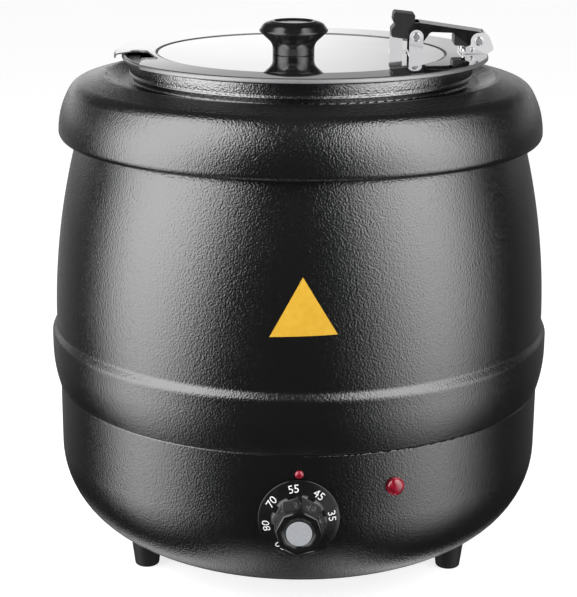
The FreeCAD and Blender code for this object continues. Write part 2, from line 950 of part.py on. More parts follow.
def cord_gland():
    flange = hexagon(Vector(), gland_flange_flats, gland_flange_wall)
    dome = turned([
        (0, gland_flange_wall),
        (gland_dome_radius, gland_flange_wall),
        (gland_dome_radius, gland_flange_wall + gland_dome_length, gland_dome_round),
        (0, gland_flange_wall + gland_dome_length),
    ])
    tail = rod(Vector(0, 0, -gland_tail), UP, gland_thread_radius, gland_tail)
    bore = rod(Vector(0, 0, -gland_tail), UP, gland_bore_radius,
               gland_tail + gland_flange_wall + gland_dome_length)
    body = flange.fuse([dome, tail]).cut(bore).removeSplitter()
    return laid_out(body, rear_angle, bowl_radius + close_fit, gland_height_on_body)


def gland_nut():
    corner = gland_nut_flats / 2 / math.cos(math.pi / hex_sides)
    sag = bowl_inner_radius - math.sqrt(bowl_inner_radius ** 2 - corner ** 2)
    nut = hexagon(Vector(0, 0, -gland_nut_wall), gland_nut_flats, gland_nut_wall)
    nut = nut.cut(rod(Vector(0, 0, -gland_nut_wall), UP, gland_thread_radius + close_fit, gland_nut_wall))
    return laid_out(nut, rear_angle, bowl_inner_radius - sag - close_fit, gland_height_on_body)


# Pot

def soup_pot():
    shell = pressed([
        (0, pot_floor_height),
        (pot_radius, pot_floor_height, pot_round),
        (pot_radius, rim_height, pot_flange_round),
        (flange_edge_radius, rim_height),
    ], pot_wall)
    bead = Part.makeTorus(flange_edge_radius, pot_bead_radius, Vector(0, 0, rim_height + pot_bead_radius))
    return shell.fuse(bead).removeSplitter()


# Lid ring

def notch_outline(grow):
    mouth = ring_radius + notch_flare
    half = notch_half_width + grow
    end = ring_radius - notch_depth - grow
    far = 3 * notch_half_width
    flare_round = max(notch_flare_round - grow, grow)
    return [
        (mouth + notch_flare, -far),
        (mouth - notch_flare, -half - notch_flare, flare_round),
        (end, -half, notch_half_width),
        (end, half, notch_half_width),
        (mouth - notch_flare, half + notch_flare, flare_round),
        (mouth + notch_flare, far),
        (ring_radius + far, far),
        (ring_radius + far, -far),
    ]


# The profile is drawn in XZ and laid flat, so that its second coordinate runs along Y.
def notch_prism(grow, low, high):
    prism = profile_face(notch_outline(grow)).extrude(Vector(0, high - low, 0))
    prism.rotate(Vector(), RIGHT, 90)
    prism.translate(Vector(0, 0, low))
    prism.rotate(Vector(), UP, notch_angle)
    return prism


def lid_ring():
    low = ring_top_height - ring_drop
    step_radius = ring_step_radius
    ledge_edge = disc_radius + loose_fit
    ring = pressed([
        (ring_radius, low),
        (ring_radius, ring_top_height, ring_rim_round),
        (step_radius, ring_top_height - ring_slope, ring_step_round),
        (ledge_edge, disc_under_height),
        (ledge_edge - ring_ledge_width, disc_under_height),
    ], ring_sheet)
    fence_low = bead_top_height + seat_gap
    envelope = turned([
        (step_radius, fence_low),
        (ring_radius, fence_low),
        (ring_radius, ring_top_height, ring_rim_round),
        (step_radius, ring_top_height - ring_slope),
    ])
    fence = notch_prism(ring_sheet, low, ring_top_height).cut(notch_prism(0, low, ring_top_height))
    fence = fence.common(envelope)
    cutter = notch_prism(0, disc_under_height - ring_drop, ring_top_height + ring_drop)
    shape = ring.cut(cutter).fuse(fence).removeSplitter()
    for place in bracket_rivet_places():
        shape = shape.cut(rod(place - UP * ring_drop, UP, rivet_radius + close_fit, 2 * ring_drop))
    return shape


# Lid disc, knob and knob screw

def lid_disc():
    disc = turned([
        (0, disc_under_height),
        (disc_radius, disc_under_height, disc_edge_round),
        (disc_radius, disc_top_height, disc_edge_round),
        (0, disc_top_height),
    ])
    holes = [rod(Vector(knob_place, 0, disc_under_height), UP, knob_screw_radius + close_fit, disc_wall)]
    for place in clevis_rivet_places():
        holes.append(rod(place - UP * disc_wall, UP, rivet_radius + close_fit, disc_wall))
    return disc.cut(holes)


def lid_knob():
    low = disc_top_height
    body = turned([
        (0, low),
        (knob_stem_radius, low, knob_base_round),
        (knob_stem_radius, low + knob_stem_height, knob_flare_round / 2),
        (knob_radius, low + knob_rim_height, knob_rim_round),
        (knob_top_radius, low + knob_height, knob_top_round),
        (knob_dish_radius, low + knob_height),
        (knob_dish_radius - knob_dish_depth, low + knob_height - knob_dish_depth),
        (0, low + knob_height - knob_dish_depth),
    ])
    body = body.cut(rod(Vector(0, 0, low), UP, knob_screw_radius + close_fit, knob_screw_depth + loose_fit))
    body.translate(Vector(knob_place, 0, 0))
    return body


def knob_screw():
    under = Vector(knob_place, 0, disc_under_height)
    head = rod(under, UP * -1, knob_screw_head_radius, knob_screw_head_height)
    shank = rod(under, UP, knob_screw_radius, disc_wall + knob_screw_depth)
    return head.fuse(shank).removeSplitter()


# Lid hinge

def headed_pin(at, radius, head_radius, head_wall):
    start = at - BACK * hinge_half_width
    shank = rod(start, BACK, radius, 2 * hinge_half_width)
    near = rod(start, FRONT, head_radius, head_wall)
    far = rod(at + BACK * hinge_half_width, BACK, head_radius, head_wall)
    return shank.fuse([near, far]).removeSplitter()


def stop_point():
    return Vector(hinge_reach - stop_pin_toe, 0, ring_top_height + stop_pin_rise)


def bracket_rivet_places():
    x = hinge_reach - bracket_toe + rivet_head_radius + loose_fit
    return [Vector(x, side * bracket_rivet_inset, ring_top_height) for side in (-1, 1)]


def hinge_bracket():
    base = ring_top_height
    stop = stop_point()
    lobe = bracket_lobe_radius
    toe = stop.x - stop_pin_toe
    heel = hinge_reach + bracket_heel
    elbow = hinge_reach + bracket_lean
    ear_corners = [
        (toe, base),
        (heel, base, hinge_sheet),
        (elbow, hinge_height - bracket_elbow_drop, 2 * hinge_sheet),
        (hinge_reach + lobe, hinge_height + lobe, lobe),
        (hinge_reach - lobe, hinge_height + lobe, lobe),
        (hinge_reach - lobe, hinge_height - stop_pin_rise, hinge_sheet),
        (toe, stop.z + stop_pin_head_radius, hinge_sheet),
    ]
    front = plate(ear_corners, -hinge_half_width, -hinge_inner)
    rear = plate(ear_corners, hinge_inner, hinge_half_width)
    floor = block((hinge_reach - bracket_toe, -hinge_half_width, base),
                  (heel, hinge_half_width, base + hinge_sheet))
    shape = floor.fuse([front, rear])
    through = 4 * hinge_half_width
    holes = [
        rod(hinge_point - BACK * through / 2, BACK, pin_radius + close_fit / 2, through),
        rod(stop - BACK * through / 2, BACK, stop_pin_radius + close_fit / 2, through),
    ]
    for place in bracket_rivet_places():
        holes.append(rod(place, UP, rivet_radius + close_fit, hinge_sheet))
    return shape.cut(holes).removeSplitter()


def rivet(place, grip_below, grip_above):
    shank = rod(place - UP * grip_below, UP, rivet_radius, grip_below + grip_above)
    top = rod(place + UP * grip_above, UP, rivet_head_radius, rivet_head_wall)
    under = rod(place - UP * grip_below, UP * -1, rivet_head_radius, rivet_head_wall)
    return shank.fuse([top, under]).removeSplitter()


def arm_side(lower):
    left_top = clevis_height + arm_crown_left
    right_top = hinge_height + arm_crown_right
    eye = arm_eye_radius
    waist = hinge_reach - arm_waist_reach
    lower_edge = clevis_height + arm_crown_left - arm_flange_depth
    return [
        (clevis_x, left_top - lower, arm_round),
        (hinge_reach + eye / 2, right_top - lower, arm_round),
        (hinge_reach + eye, hinge_height - eye, eye),
        (hinge_reach - eye, hinge_height - eye, arm_round),
        (waist, lower_edge - arm_waist_drop, arm_round),
        (clevis_x + arm_neck_reach, lower_edge - arm_neck_drop, arm_round),
        (clevis_x + eye, clevis_height - eye, eye),
        (clevis_x - eye, clevis_height - eye, eye),
        (clevis_x - eye, clevis_height + eye, eye),
    ]


# A channel: the side outline across the full width, hollowed from below, open at the clevis.
def hinge_arm():
    half = arm_half_width
    inner = half - arm_sheet
    channel = plate(arm_side(0), -half, half)
    span = hinge_reach + arm_reach
    deep = arm_crown_left + 2 * arm_eye_radius
    left_top = clevis_height + arm_crown_left - arm_sheet
    right_top = hinge_height + arm_crown_right - arm_sheet
    hollow = plate([
        (clevis_x, left_top),
        (hinge_reach + arm_eye_radius / 2, right_top),
        (span, right_top),
        (span, right_top - deep),
        (clevis_x - deep, right_top - deep),
        (clevis_x - deep, left_top),
    ], -inner, inner)
    mouth = block((clevis_x - deep, -inner, clevis_height - deep),
                  (clevis_x + arm_mouth, inner, clevis_height + deep))
    through = 4 * half
    pin_holes = [rod(point - BACK * through / 2, BACK, pin_radius + running_fit, through)
                 for point in (hinge_point, clevis_point)]
    return channel.cut([hollow, mouth] + pin_holes).removeSplitter()


def hinge_block():
    half = arm_half_width - arm_sheet - seat_gap
    body = plate([
        (hinge_reach - block_reach, hinge_height - block_below, block_round),
        (hinge_reach + block_heel, hinge_height - block_below, block_round),
        (hinge_reach + block_heel, hinge_height + block_above, block_round),
        (hinge_reach - block_reach, hinge_height + block_above, block_round),
    ], -half, half)
    return body.cut(rod(hinge_point - BACK * half, BACK, pin_radius + running_fit, 2 * half))


def clevis_rivet_places():
    places = []
    for side in (-1, 1):
        outer = (clevis_ledge_half_width + hinge_half_width) / 2
        places.append(Vector(clevis_x - clevis_rivet_toe, side * outer, disc_top_height))
        places.append(Vector(clevis_x + clevis_rivet_heel, side * clevis_rivet_half_front, disc_top_height))
    return places


def lid_clevis():
    base = disc_top_height
    ear_top = clevis_height + clevis_ear_half
    ear_corners = [
        (clevis_x - clevis_ear_half, base),
        (clevis_x + clevis_ear_half, base),
        (clevis_x + clevis_ear_half, ear_top, clevis_ear_half),
        (clevis_x - clevis_ear_half, ear_top, clevis_ear_half),
    ]
    front = plate(ear_corners, -hinge_half_width, -hinge_inner)
    rear = plate(ear_corners, hinge_inner, hinge_half_width)
    floor = block((clevis_x - clevis_toe, -hinge_half_width, base),
                  (clevis_x + clevis_heel, hinge_half_width, base + hinge_sheet))
    ledge = block((clevis_x - clevis_toe, -clevis_ledge_half_width, base),
                  (clevis_x - clevis_ledge_start, clevis_ledge_half_width, base + clevis_ledge_rise))
    ledge_inside = block((clevis_x - clevis_toe, hinge_sheet - clevis_ledge_half_width, base + hinge_sheet),
                         (clevis_x - clevis_ledge_start, clevis_ledge_half_width - hinge_sheet,
                          base + clevis_ledge_rise - hinge_sheet))
    shape = floor.fuse([front, rear, ledge.cut(ledge_inside)])
    through = 4 * hinge_half_width
    holes = [rod(clevis_point - BACK * through / 2, BACK, pin_radius + close_fit / 2, through)]
    for place in clevis_rivet_places():
        holes.append(rod(place, UP, rivet_radius + close_fit, hinge_sheet))
    return shape.cut(holes).removeSplitter()


def release_lever():
    boss = lever_boss_radius
    toe = clevis_x - lever_toe
    body_top = clevis_height + lever_body_rise
    tab_low = clevis_height + lever_tab_start
    tab_top = clevis_height + lever_tab_rise
    tab_right = toe + lever_tab_thick
    body = plate([
        (clevis_x + boss, clevis_height - lever_base_drop, lever_round),
        (clevis_x + boss, clevis_height + boss, boss),
        (tab_right, tab_low, lever_round / 2),
        (tab_right + lever_round / 2, tab_top - lever_round, lever_round),
        (toe + lever_round, tab_top, lever_round),
        (toe + lever_round / 2, tab_low + lever_round / 2, lever_round / 2),
        (toe + lever_step, tab_low, lever_round / 4),
        (toe + lever_step, body_top, lever_round / 4),
        (toe, body_top - lever_step, lever_round),
        (toe, clevis_height - lever_base_drop, lever_round),
    ], -lever_half_width, lever_half_width)
    hole = rod(clevis_point - BACK * lever_half_width, BACK, pin_radius + running_fit, 2 * lever_half_width)
    return body.cut(hole)


os.makedirs("parts", exist_ok=True)

save("base_bowl", base_bowl())
save("body_barrel", body_barrel())
save("shoulder_collar", shoulder_collar())
save("neck_ring", neck_ring())
save("water_well", water_well())

for foot_name, foot_angle in zip(("rear_foot", "left_foot", "right_foot"), foot_angles):
    save(foot_name, foot(foot_angle))
low_nut_height = foot_recess_depth - rod_nut_height
high_nut_height = valley_height - shell_wall - seat_gap - rod_nut_height
save("tie_rods", *[tie_rod(angle) for angle in foot_angles])
save("tie_rod_nuts", *[rod_nut(angle, low) for angle in foot_angles
                       for low in (low_nut_height, high_nut_height)])
save("base_plate", base_plate())
save("base_plate_screws", *[base_screw(place) for place in base_screw_places()])

save("heating_element", heating_element())
save("element_clamp", element_clamp())
save("clamp_stud", clamp_stud())
save("clamp_nut", clamp_nut())
save("thermal_cutout", thermal_cutout())
save("thermostat_bulb", thermostat_bulb())
save("bulb_clip", bulb_clip())
save("thermostat_capillary", capillary())
save("terminal_block", terminal_block())

save("thermostat_body", thermostat_body())
save("thermostat_screws", thermostat_screw(-1), thermostat_screw(1))
save("thermostat_dial", faced_front(dial_solid()))
save("dial_cap", faced_front(dial_cap()))
save("thermostat_shaft", thermostat_shaft())

save("pilot_lamp_lens", lamp_lens())
save("pilot_lamp_body", lamp_body())
save("pilot_lamp_clip", lamp_clip())
save("index_lens", index_lens())
save("cord_gland", cord_gland())
save("gland_nut", gland_nut())

save("soup_pot", soup_pot())

save("lid_ring", lid_ring())
save("hinge_bracket", hinge_bracket())
save("hinge_pin", headed_pin(hinge_point, pin_radius, pin_head_radius, pin_head_wall))
save("stop_pin", headed_pin(stop_point(), stop_pin_radius, stop_pin_head_radius, pin_head_wall))
ring_grip = ring_sheet + ring_slope
save("bracket_rivets", *[rivet(place, ring_grip, hinge_sheet) for place in bracket_rivet_places()])

save("lid_disc", lid_disc())
save("lid_knob", lid_knob())
save("knob_screw", knob_screw())
save("lid_clevis", lid_clevis())
save("clevis_rivets", *[rivet(place, disc_wall, hinge_sheet) for place in clevis_rivet_places()])
save("hinge_arm", hinge_arm())
save("hinge_block", hinge_block())
save("release_pin", headed_pin(clevis_point, pin_radius, pin_head_radius, pin_head_wall))
save("release_lever", release_lever())
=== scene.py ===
import math
import bmesh
import bpy
from mathutils import Matrix, Vector


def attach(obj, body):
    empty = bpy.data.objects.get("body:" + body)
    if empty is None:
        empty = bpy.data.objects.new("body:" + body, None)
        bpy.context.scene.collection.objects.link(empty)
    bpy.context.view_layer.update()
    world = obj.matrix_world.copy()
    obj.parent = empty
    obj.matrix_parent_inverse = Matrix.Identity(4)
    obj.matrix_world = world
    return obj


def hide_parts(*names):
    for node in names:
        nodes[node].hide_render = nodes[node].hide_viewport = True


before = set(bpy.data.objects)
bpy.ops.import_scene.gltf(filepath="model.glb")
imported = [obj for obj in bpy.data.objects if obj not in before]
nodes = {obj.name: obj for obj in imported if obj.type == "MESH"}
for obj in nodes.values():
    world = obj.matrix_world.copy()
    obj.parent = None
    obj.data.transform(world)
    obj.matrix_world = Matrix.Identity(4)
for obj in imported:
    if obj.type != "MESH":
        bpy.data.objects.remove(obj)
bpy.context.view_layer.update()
scene = bpy.context.scene
scene.view_settings.view_transform = "Standard"
print("frame loaded,", len(nodes), "nodes")


# Small helpers for node trees

def addNode(tree, kind, inputs=None, **properties):
    node = tree.nodes.new(kind)
    for name, value in properties.items():
        setattr(node, name, value)
    for name, value in (inputs or {}).items():
        node.inputs[name].default_value = value
    return node


def newFinish(name, settings):
    finish = bpy.data.materials.new(name)
    finish.use_nodes = True
    shader = finish.node_tree.nodes["Principled BSDF"]
    for socket, value in settings.items():
        shader.inputs[socket].default_value = value
    return finish, finish.node_tree, shader


def objectPoint(tree):
    return addNode(tree, "ShaderNodeTexCoord").outputs["Object"]


# Values may be sockets or plain numbers
def plug(tree, socket, value):
    if isinstance(value, bpy.types.NodeSocket):
        tree.links.new(value, socket)
    else:
        socket.default_value = value


def mathOf(tree, operation, *values):
    node = addNode(tree, "ShaderNodeMath", operation=operation)
    for socket, value in zip(node.inputs, values):
        plug(tree, socket, value)
    return node.outputs["Value"]


def vectorOf(tree, operation, *values, scale=None):
    node = addNode(tree, "ShaderNodeVectorMath", operation=operation)
    for socket, value in zip(node.inputs, values):
        plug(tree, socket, value)
    if scale is not None:
        plug(tree, node.inputs["Scale"], scale)
    return node.outputs["Value" if operation in ("LENGTH", "DOT_PRODUCT") else "Vector"]


def mixOf(tree, kind, factor, first, second):
    node = addNode(tree, "ShaderNodeMix", data_type=kind)
    place = ("FLOAT", "VECTOR", "RGBA").index(kind)
    plug(tree, node.inputs[0], factor)
    plug(tree, node.inputs[2 + 2 * place], first)
    plug(tree, node.inputs[3 + 2 * place], second)
    return node.outputs[place]


def partsOf(tree, vector):
    node = addNode(tree, "ShaderNodeSeparateXYZ")
    tree.links.new(vector, node.inputs["Vector"])
    return node.outputs


# most of a noise lies between these
noiseEnds = (0.3, 0.7)


def noise(tree, point, scale, detail=3.0, roughness=0.5):
    node = addNode(tree, "ShaderNodeTexNoise", {"Scale": scale, "Detail": detail, "Roughness": roughness})
    tree.links.new(point, node.inputs["Vector"])
    return node.outputs["Fac"]


def spread(tree, value, low, high, fromLow=noiseEnds[0], fromHigh=noiseEnds[1]):
    node = addNode(tree, "ShaderNodeMapRange", {"From Min": fromLow, "From Max": fromHigh,
                                                "To Min": low, "To Max": high})
    tree.links.new(value, node.inputs["Value"])
    return node.outputs["Result"]


def twoColours(tree, value, first, second):
    ramp = addNode(tree, "ShaderNodeValToRGB")
    for stop, place, colour in zip(ramp.color_ramp.elements, noiseEnds, (first, second)):
        stop.position = place
        stop.color = colour
    tree.links.new(value, ramp.inputs["Fac"])
    return ramp.outputs["Color"]


def greyRamp(tree, value, stops):
    ramp = addNode(tree, "ShaderNodeValToRGB")
    levels = ramp.color_ramp
    levels.elements.remove(levels.elements[1])
    for place, level in stops:
        levels.elements.new(place).color = (level, level, level, 1)
    levels.elements.remove(levels.elements[0])
    tree.links.new(value, ramp.inputs["Fac"])
    return ramp.outputs["Color"]


def bumpFrom(tree, height, strength, distance, normal=None):
    node = addNode(tree, "ShaderNodeBump", {"Strength": strength, "Distance": distance})
    tree.links.new(height, node.inputs["Height"])
    if normal:
        tree.links.new(normal, node.inputs["Normal"])
    return node.outputs["Normal"]


def dress(finish, *names):
    for name in names:
        mesh = nodes[name].data
        mesh.materials.clear()
        mesh.materials.append(finish)


# Builders for the scene's own pieces

# Corners are (across, up) or (across, up, radius of the round)
def roundedPath(corners, closed=False, steps=8):
    spots = []
    for index, corner in enumerate(corners):
        here = Vector(corner[:2])
        inside = closed or 0 < index < len(corners) - 1
        if len(corner) < 3 or not inside:
            spots.append(here)
            continue
        before = (Vector(corners[index - 1][:2]) - here).normalized()
        after = (Vector(corners[(index + 1) % len(corners)][:2]) - here).normalized()
        half = before.angle(after) / 2
        middle = here + (before + after).normalized() * corner[2] / math.sin(half)
        first = here + before * corner[2] / math.tan(half) - middle
        last = here + after * corner[2] / math.tan(half) - middle
        spots.extend(middle + first.slerp(last, step / steps) * corner[2] for step in range(steps + 1))
    return spots


# Loops close to both ends of each long run keep flat faces flat under smooth shading
def withLoops(path, reach=0.0003):
    spots = [Vector(path[0])]
    for first, last in zip(path, path[1:]):
        run = Vector(last) - Vector(first)
        if run.length > 3 * reach:
            spots.append(Vector(first) + run.normalized() * reach)
            spots.append(Vector(last) - run.normalized() * reach)
        spots.append(Vector(last))
    return spots


# Turns a path of (radius, along) round the axis that place() gives
def lathe(form, path, place, steps=96):
    rows = []
    for radius, along in path:
        count = steps if radius > 1e-6 else 1
        rows.append([form.verts.new(place(radius, 2 * math.pi * step / steps, along)) for step in range(count)])
    for lower, upper in zip(rows, rows[1:]):
        for step in range(steps):
            corners = []
            for row, at in ((lower, step), (lower, step + 1), (upper, step + 1), (upper, step)):
                corner = row[at % len(row)]
                if corner not in corners:
                    corners.append(corner)
            if len(corners) > 2:
                form.faces.new(corners)


def plate(form, outline, near, far):
    front = [form.verts.new((spot[0], near, spot[1])) for spot in outline]
    back = [form.verts.new((spot[0], far, spot[1])) for spot in outline]
    form.faces.new(front)
    form.faces.new(list(reversed(back)))
    for index in range(len(outline)):
        following = (index + 1) % len(outline)
        form.faces.new((front[following], front[index], back[index], back[following]))


def tube(form, spots, radius, sides=12):
    rows = []
    for index, spot in enumerate(spots):
        run = (spots[min(index + 1, len(spots) - 1)] - spots[max(index - 1, 0)]).normalized()
        side = run.cross(Vector((0, 0, 1))).normalized()
        up = side.cross(run)
        rows.append([form.verts.new(spot + side * radius * math.cos(2 * math.pi * step / sides)
                                    + up * radius * math.sin(2 * math.pi * step / sides)) for step in range(sides)])
    for lower, upper in zip(rows, rows[1:]):
        for step in range(sides):
            following = (step + 1) % sides
            form.faces.new((lower[step], lower[following], upper[following], upper[step]))
    form.faces.new(rows[0])
    form.faces.new(rows[-1])


sharpFrom = 40


def addPiece(name, form, finish, body, slot, *stands, sharp=sharpFrom):
    bmesh.ops.remove_doubles(form, verts=form.verts, dist=1e-6)
    bmesh.ops.recalc_face_normals(form, faces=form.faces)
    mesh = bpy.data.meshes.new(name)
    form.to_mesh(mesh)
    form.free()
    mesh.shade_smooth()
    mesh.set_sharp_from_angle(angle=math.radians(sharp))
    mesh.materials.append(finish)
    piece = bpy.data.objects.new(name, mesh)
    scene.collection.objects.link(piece)
    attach(piece, body)
    if stands:
        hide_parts(*stands)
    return piece


# Grained black coat on the pressed shells

coat = {
    "dark": (0.0035, 0.0035, 0.0038, 1),
    "pale": (0.0065, 0.0065, 0.0068, 1),
    "roughness": (0.13, 0.19),
    "ior": 1.9,
    "neckIor": 2.4,           # the neck is coated glossier
    "pebbles": 860,           # per metre
    "pebbleDepth": 0.00027,
    "skin": 1900,
    "skinDepth": 0.00003,
    "patches": 25,
}


def coatFinish(name, ior):
    finish, tree, shader = newFinish(name, {"IOR": ior})
    point = objectPoint(tree)
    pebbles = noise(tree, point, coat["pebbles"], 1.5, 0.45)
    skin = noise(tree, point, coat["skin"], 2.0)
    first = bumpFrom(tree, pebbles, 1.0, coat["pebbleDepth"])
    normal = bumpFrom(tree, skin, 1.0, coat["skinDepth"], first)
    patches = noise(tree, point, coat["patches"])
    tree.links.new(normal, shader.inputs["Normal"])
    tree.links.new(spread(tree, patches, *coat["roughness"]), shader.inputs["Roughness"])
    tree.links.new(twoColours(tree, skin, coat["dark"], coat["pale"]), shader.inputs["Base Color"])
    return finish


neckCoat = coatFinish("neck_coat", coat["neckIor"])
bodyCoat = coatFinish("grained_coat", coat["ior"])
dress(bodyCoat, "base_bowl", "body_barrel", "shoulder_collar")
dress(neckCoat, "neck_ring")
print("coat done")


# Mirror polished steel of the lid, and the satin and plated steels

mirror = {
    "clean": (0.82, 0.82, 0.83, 1),
    "wiped": (0.79, 0.79, 0.80, 1),
    "roughness": (0.02, 0.06),
    "crownLean": 0.036,        # outward lean of the ring's top
    "crownEdge": (0.75, 0.9),  # the top ends where its upward share falls below these
    # the turned-down rim's colour, a painted shade far darker than the polish
    "rimShade": (0.22, 0.22, 0.225, 1),
    "rimRoughness": 0.5,
    # scales the whole ring's polish darker than the disc's, as painted shade
    "ringShade": 0.80,
    "wipes": 30,
}
satin = {
    "light": (0.62, 0.62, 0.63, 1),
    "deep": (0.50, 0.50, 0.51, 1),
    "roughness": (0.22, 0.36),
    "lines": 900,
    "bump": 0.12,
    "depth": 0.00004,
}
plated = {
    "light": (0.58, 0.59, 0.61, 1),
    "deep": (0.44, 0.45, 0.47, 1),
    "roughness": (0.28, 0.42),
    "cloud": 220,
    "bump": 0.1,
    "depth": 0.00005,
}
pinSteel = {
    "light": (0.38, 0.38, 0.39, 1),
    "deep": (0.28, 0.28, 0.29, 1),
    "roughness": (0.16, 0.24),
    "cloud": 220,
    "bump": 0.1,
    "depth": 0.00005,
}


def mirrorFinish(name, tone=1.0):
    finish, tree, shader = newFinish(name, {"Metallic": 1.0})
    point = objectPoint(tree)
    wipes = noise(tree, point, mirror["wipes"], 4.0)
    clean, wiped = ([level * tone for level in mirror[look][:3]] + [1] for look in ("clean", "wiped"))
    tree.links.new(twoColours(tree, wipes, clean, wiped), shader.inputs["Base Color"])
    tree.links.new(spread(tree, wipes, *mirror["roughness"]), shader.inputs["Roughness"])
    return finish, tree, shader, point


# The pressed ring is slightly crowned, so its polish leans outwards; the whole ring's polish is painted darker than the
# disc's as shade, and its turned-down rim is painted darker still as shade and is rougher
def crownedFinish():
    finish, tree, shader, point = mirrorFinish("crowned_steel", mirror["ringShade"])
    outward = vectorOf(tree, "NORMALIZE", vectorOf(tree, "MULTIPLY", point, (1, 1, 0)))
    crown = vectorOf(tree, "ADD", vectorOf(tree, "SCALE", outward, scale=mirror["crownLean"]), (0, 0, 1))
    face = addNode(tree, "ShaderNodeNewGeometry").outputs["Normal"]
    onTop = spread(tree, partsOf(tree, face)["Z"], 0, 1, *mirror["crownEdge"])
    normal = vectorOf(tree, "NORMALIZE", mixOf(tree, "VECTOR", onTop, face, crown))
    tree.links.new(normal, shader.inputs["Normal"])
    # on the turned-down rim the polish gives way to a painted shade colour and a rougher finish
    for socket, kind, atRim in (("Base Color", "RGBA", "rimShade"), ("Roughness", "FLOAT", "rimRoughness")):
        polish = shader.inputs[socket].links[0].from_socket
        tree.links.new(mixOf(tree, kind, onTop, mirror[atRim], polish), shader.inputs[socket])
    return finish


# Fine lines that run round the upright axis, as a spun pot has them
def spunFinish():
    finish, tree, shader = newFinish("spun_steel", {"Metallic": 1.0})
    point = objectPoint(tree)
    reach = vectorOf(tree, "LENGTH", vectorOf(tree, "MULTIPLY", point, (1, 1, 0)))
    turn = addNode(tree, "ShaderNodeCombineXYZ")
    tree.links.new(reach, turn.inputs["X"])
    tree.links.new(partsOf(tree, point)["Z"], turn.inputs["Z"])
    lines = noise(tree, turn.outputs["Vector"], satin["lines"], 2.0)
    tree.links.new(twoColours(tree, lines, satin["deep"], satin["light"]), shader.inputs["Base Color"])
    tree.links.new(spread(tree, lines, *satin["roughness"]), shader.inputs["Roughness"])
    tree.links.new(bumpFrom(tree, lines, satin["bump"], satin["depth"]), shader.inputs["Normal"])
    return finish


def platedFinish(name, look):
    finish, tree, shader = newFinish(name, {"Metallic": 1.0})
    point = objectPoint(tree)
    cloud = noise(tree, point, look["cloud"], 4.0)
    tree.links.new(twoColours(tree, cloud, look["deep"], look["light"]), shader.inputs["Base Color"])
    tree.links.new(spread(tree, cloud, *look["roughness"]), shader.inputs["Roughness"])
    tree.links.new(bumpFrom(tree, cloud, look["bump"], look["depth"]), shader.inputs["Normal"])
    return finish


mirrorSteel = mirrorFinish("mirror_steel")[0]
crownedSteel = crownedFinish()
pinPlate = platedFinish("pin_steel", pinSteel)
dress(mirrorSteel, "lid_disc", "hinge_bracket", "bracket_rivets", "lid_clevis", "clevis_rivets")
dress(pinPlate, "hinge_pin", "stop_pin", "release_pin")
dress(crownedSteel, "lid_ring")
dress(spunFinish(), "soup_pot", "water_well")
dress(platedFinish("zinc_plate", plated), "tie_rods", "tie_rod_nuts", "base_plate", "base_plate_screws",
      "element_clamp", "clamp_stud", "clamp_nut", "bulb_clip", "thermostat_screws", "pilot_lamp_clip", "knob_screw")
print("steels done")


# Moulded plastics, rubber and the other small finishes

mouldings = {
    "gloss_moulding": {"first": (0.005, 0.005, 0.0053, 1), "second": (0.008, 0.008, 0.0083, 1),
                       "roughness": (0.10, 0.20), "grain": 260, "bump": 0.05, "depth": 0.00005,
                       "nodes": ("thermostat_dial", "lid_knob", "hinge_arm")},
    "matte_moulding": {"first": (0.006, 0.006, 0.0063, 1), "second": (0.010, 0.010, 0.0103, 1),
                       "roughness": (0.32, 0.45), "grain": 1400, "bump": 0.15, "depth": 0.00004,
                       "nodes": ("hinge_block", "release_lever", "cord_gland", "gland_nut")},
    "foot_rubber": {"first": (0.007, 0.007, 0.007, 1), "second": (0.011, 0.011, 0.011, 1),
                    "roughness": (0.5, 0.68), "grain": 900, "bump": 0.2, "depth": 0.00005,
                    "nodes": ("rear_foot", "left_foot", "right_foot")},
    "cap_plastic": {"first": (0.31, 0.32, 0.34, 1), "second": (0.36, 0.37, 0.39, 1),
                    "roughness": (0.28, 0.40), "grain": 700, "bump": 0.08, "depth": 0.00003,
                    "nodes": ("dial_cap",)},
    "ivory_plastic": {"first": (0.70, 0.66, 0.55, 1), "second": (0.78, 0.75, 0.65, 1),
                      "roughness": (0.35, 0.5), "grain": 500, "bump": 0.1, "depth": 0.00004,
                      "nodes": ("thermal_cutout", "terminal_block", "thermostat_body", "pilot_lamp_body")},
}
metalTint = 150
metals = {
    "heated_steel": {"first": (0.20, 0.18, 0.16, 1), "second": (0.36, 0.33, 0.30, 1), "roughness": (0.4, 0.6),
                     "nodes": ("heating_element",)},
    "turned_brass": {"first": (0.66, 0.49, 0.21, 1), "second": (0.76, 0.59, 0.29, 1), "roughness": (0.22, 0.34),
                     "nodes": ("thermostat_shaft",)},
    "drawn_copper": {"first": (0.66, 0.32, 0.17, 1), "second": (0.74, 0.41, 0.24, 1), "roughness": (0.25, 0.4),
                     "nodes": ("thermostat_bulb", "thermostat_capillary")},
}


def mouldedFinish(name, look):
    finish, tree, shader = newFinish(name, {})
    point = objectPoint(tree)
    skin = noise(tree, point, look["grain"], 3.0)
    tree.links.new(twoColours(tree, skin, look["first"], look["second"]), shader.inputs["Base Color"])
    tree.links.new(spread(tree, skin, *look["roughness"]), shader.inputs["Roughness"])
    tree.links.new(bumpFrom(tree, skin, look["bump"], look["depth"]), shader.inputs["Normal"])
    return finish


def metalFinish(name, look):
    finish, tree, shader = newFinish(name, {"Metallic": 1.0})
    point = objectPoint(tree)
    tint = noise(tree, point, metalTint, 4.0)
    tree.links.new(twoColours(tree, tint, look["first"], look["second"]), shader.inputs["Base Color"])
    tree.links.new(spread(tree, tint, *look["roughness"]), shader.inputs["Roughness"])
    return finish


moulded = {}
for name, look in mouldings.items():
    moulded[name] = mouldedFinish(name, look)
    dress(moulded[name], *look["nodes"])
for name, look in metals.items():
    dress(metalFinish(name, look), *look["nodes"])

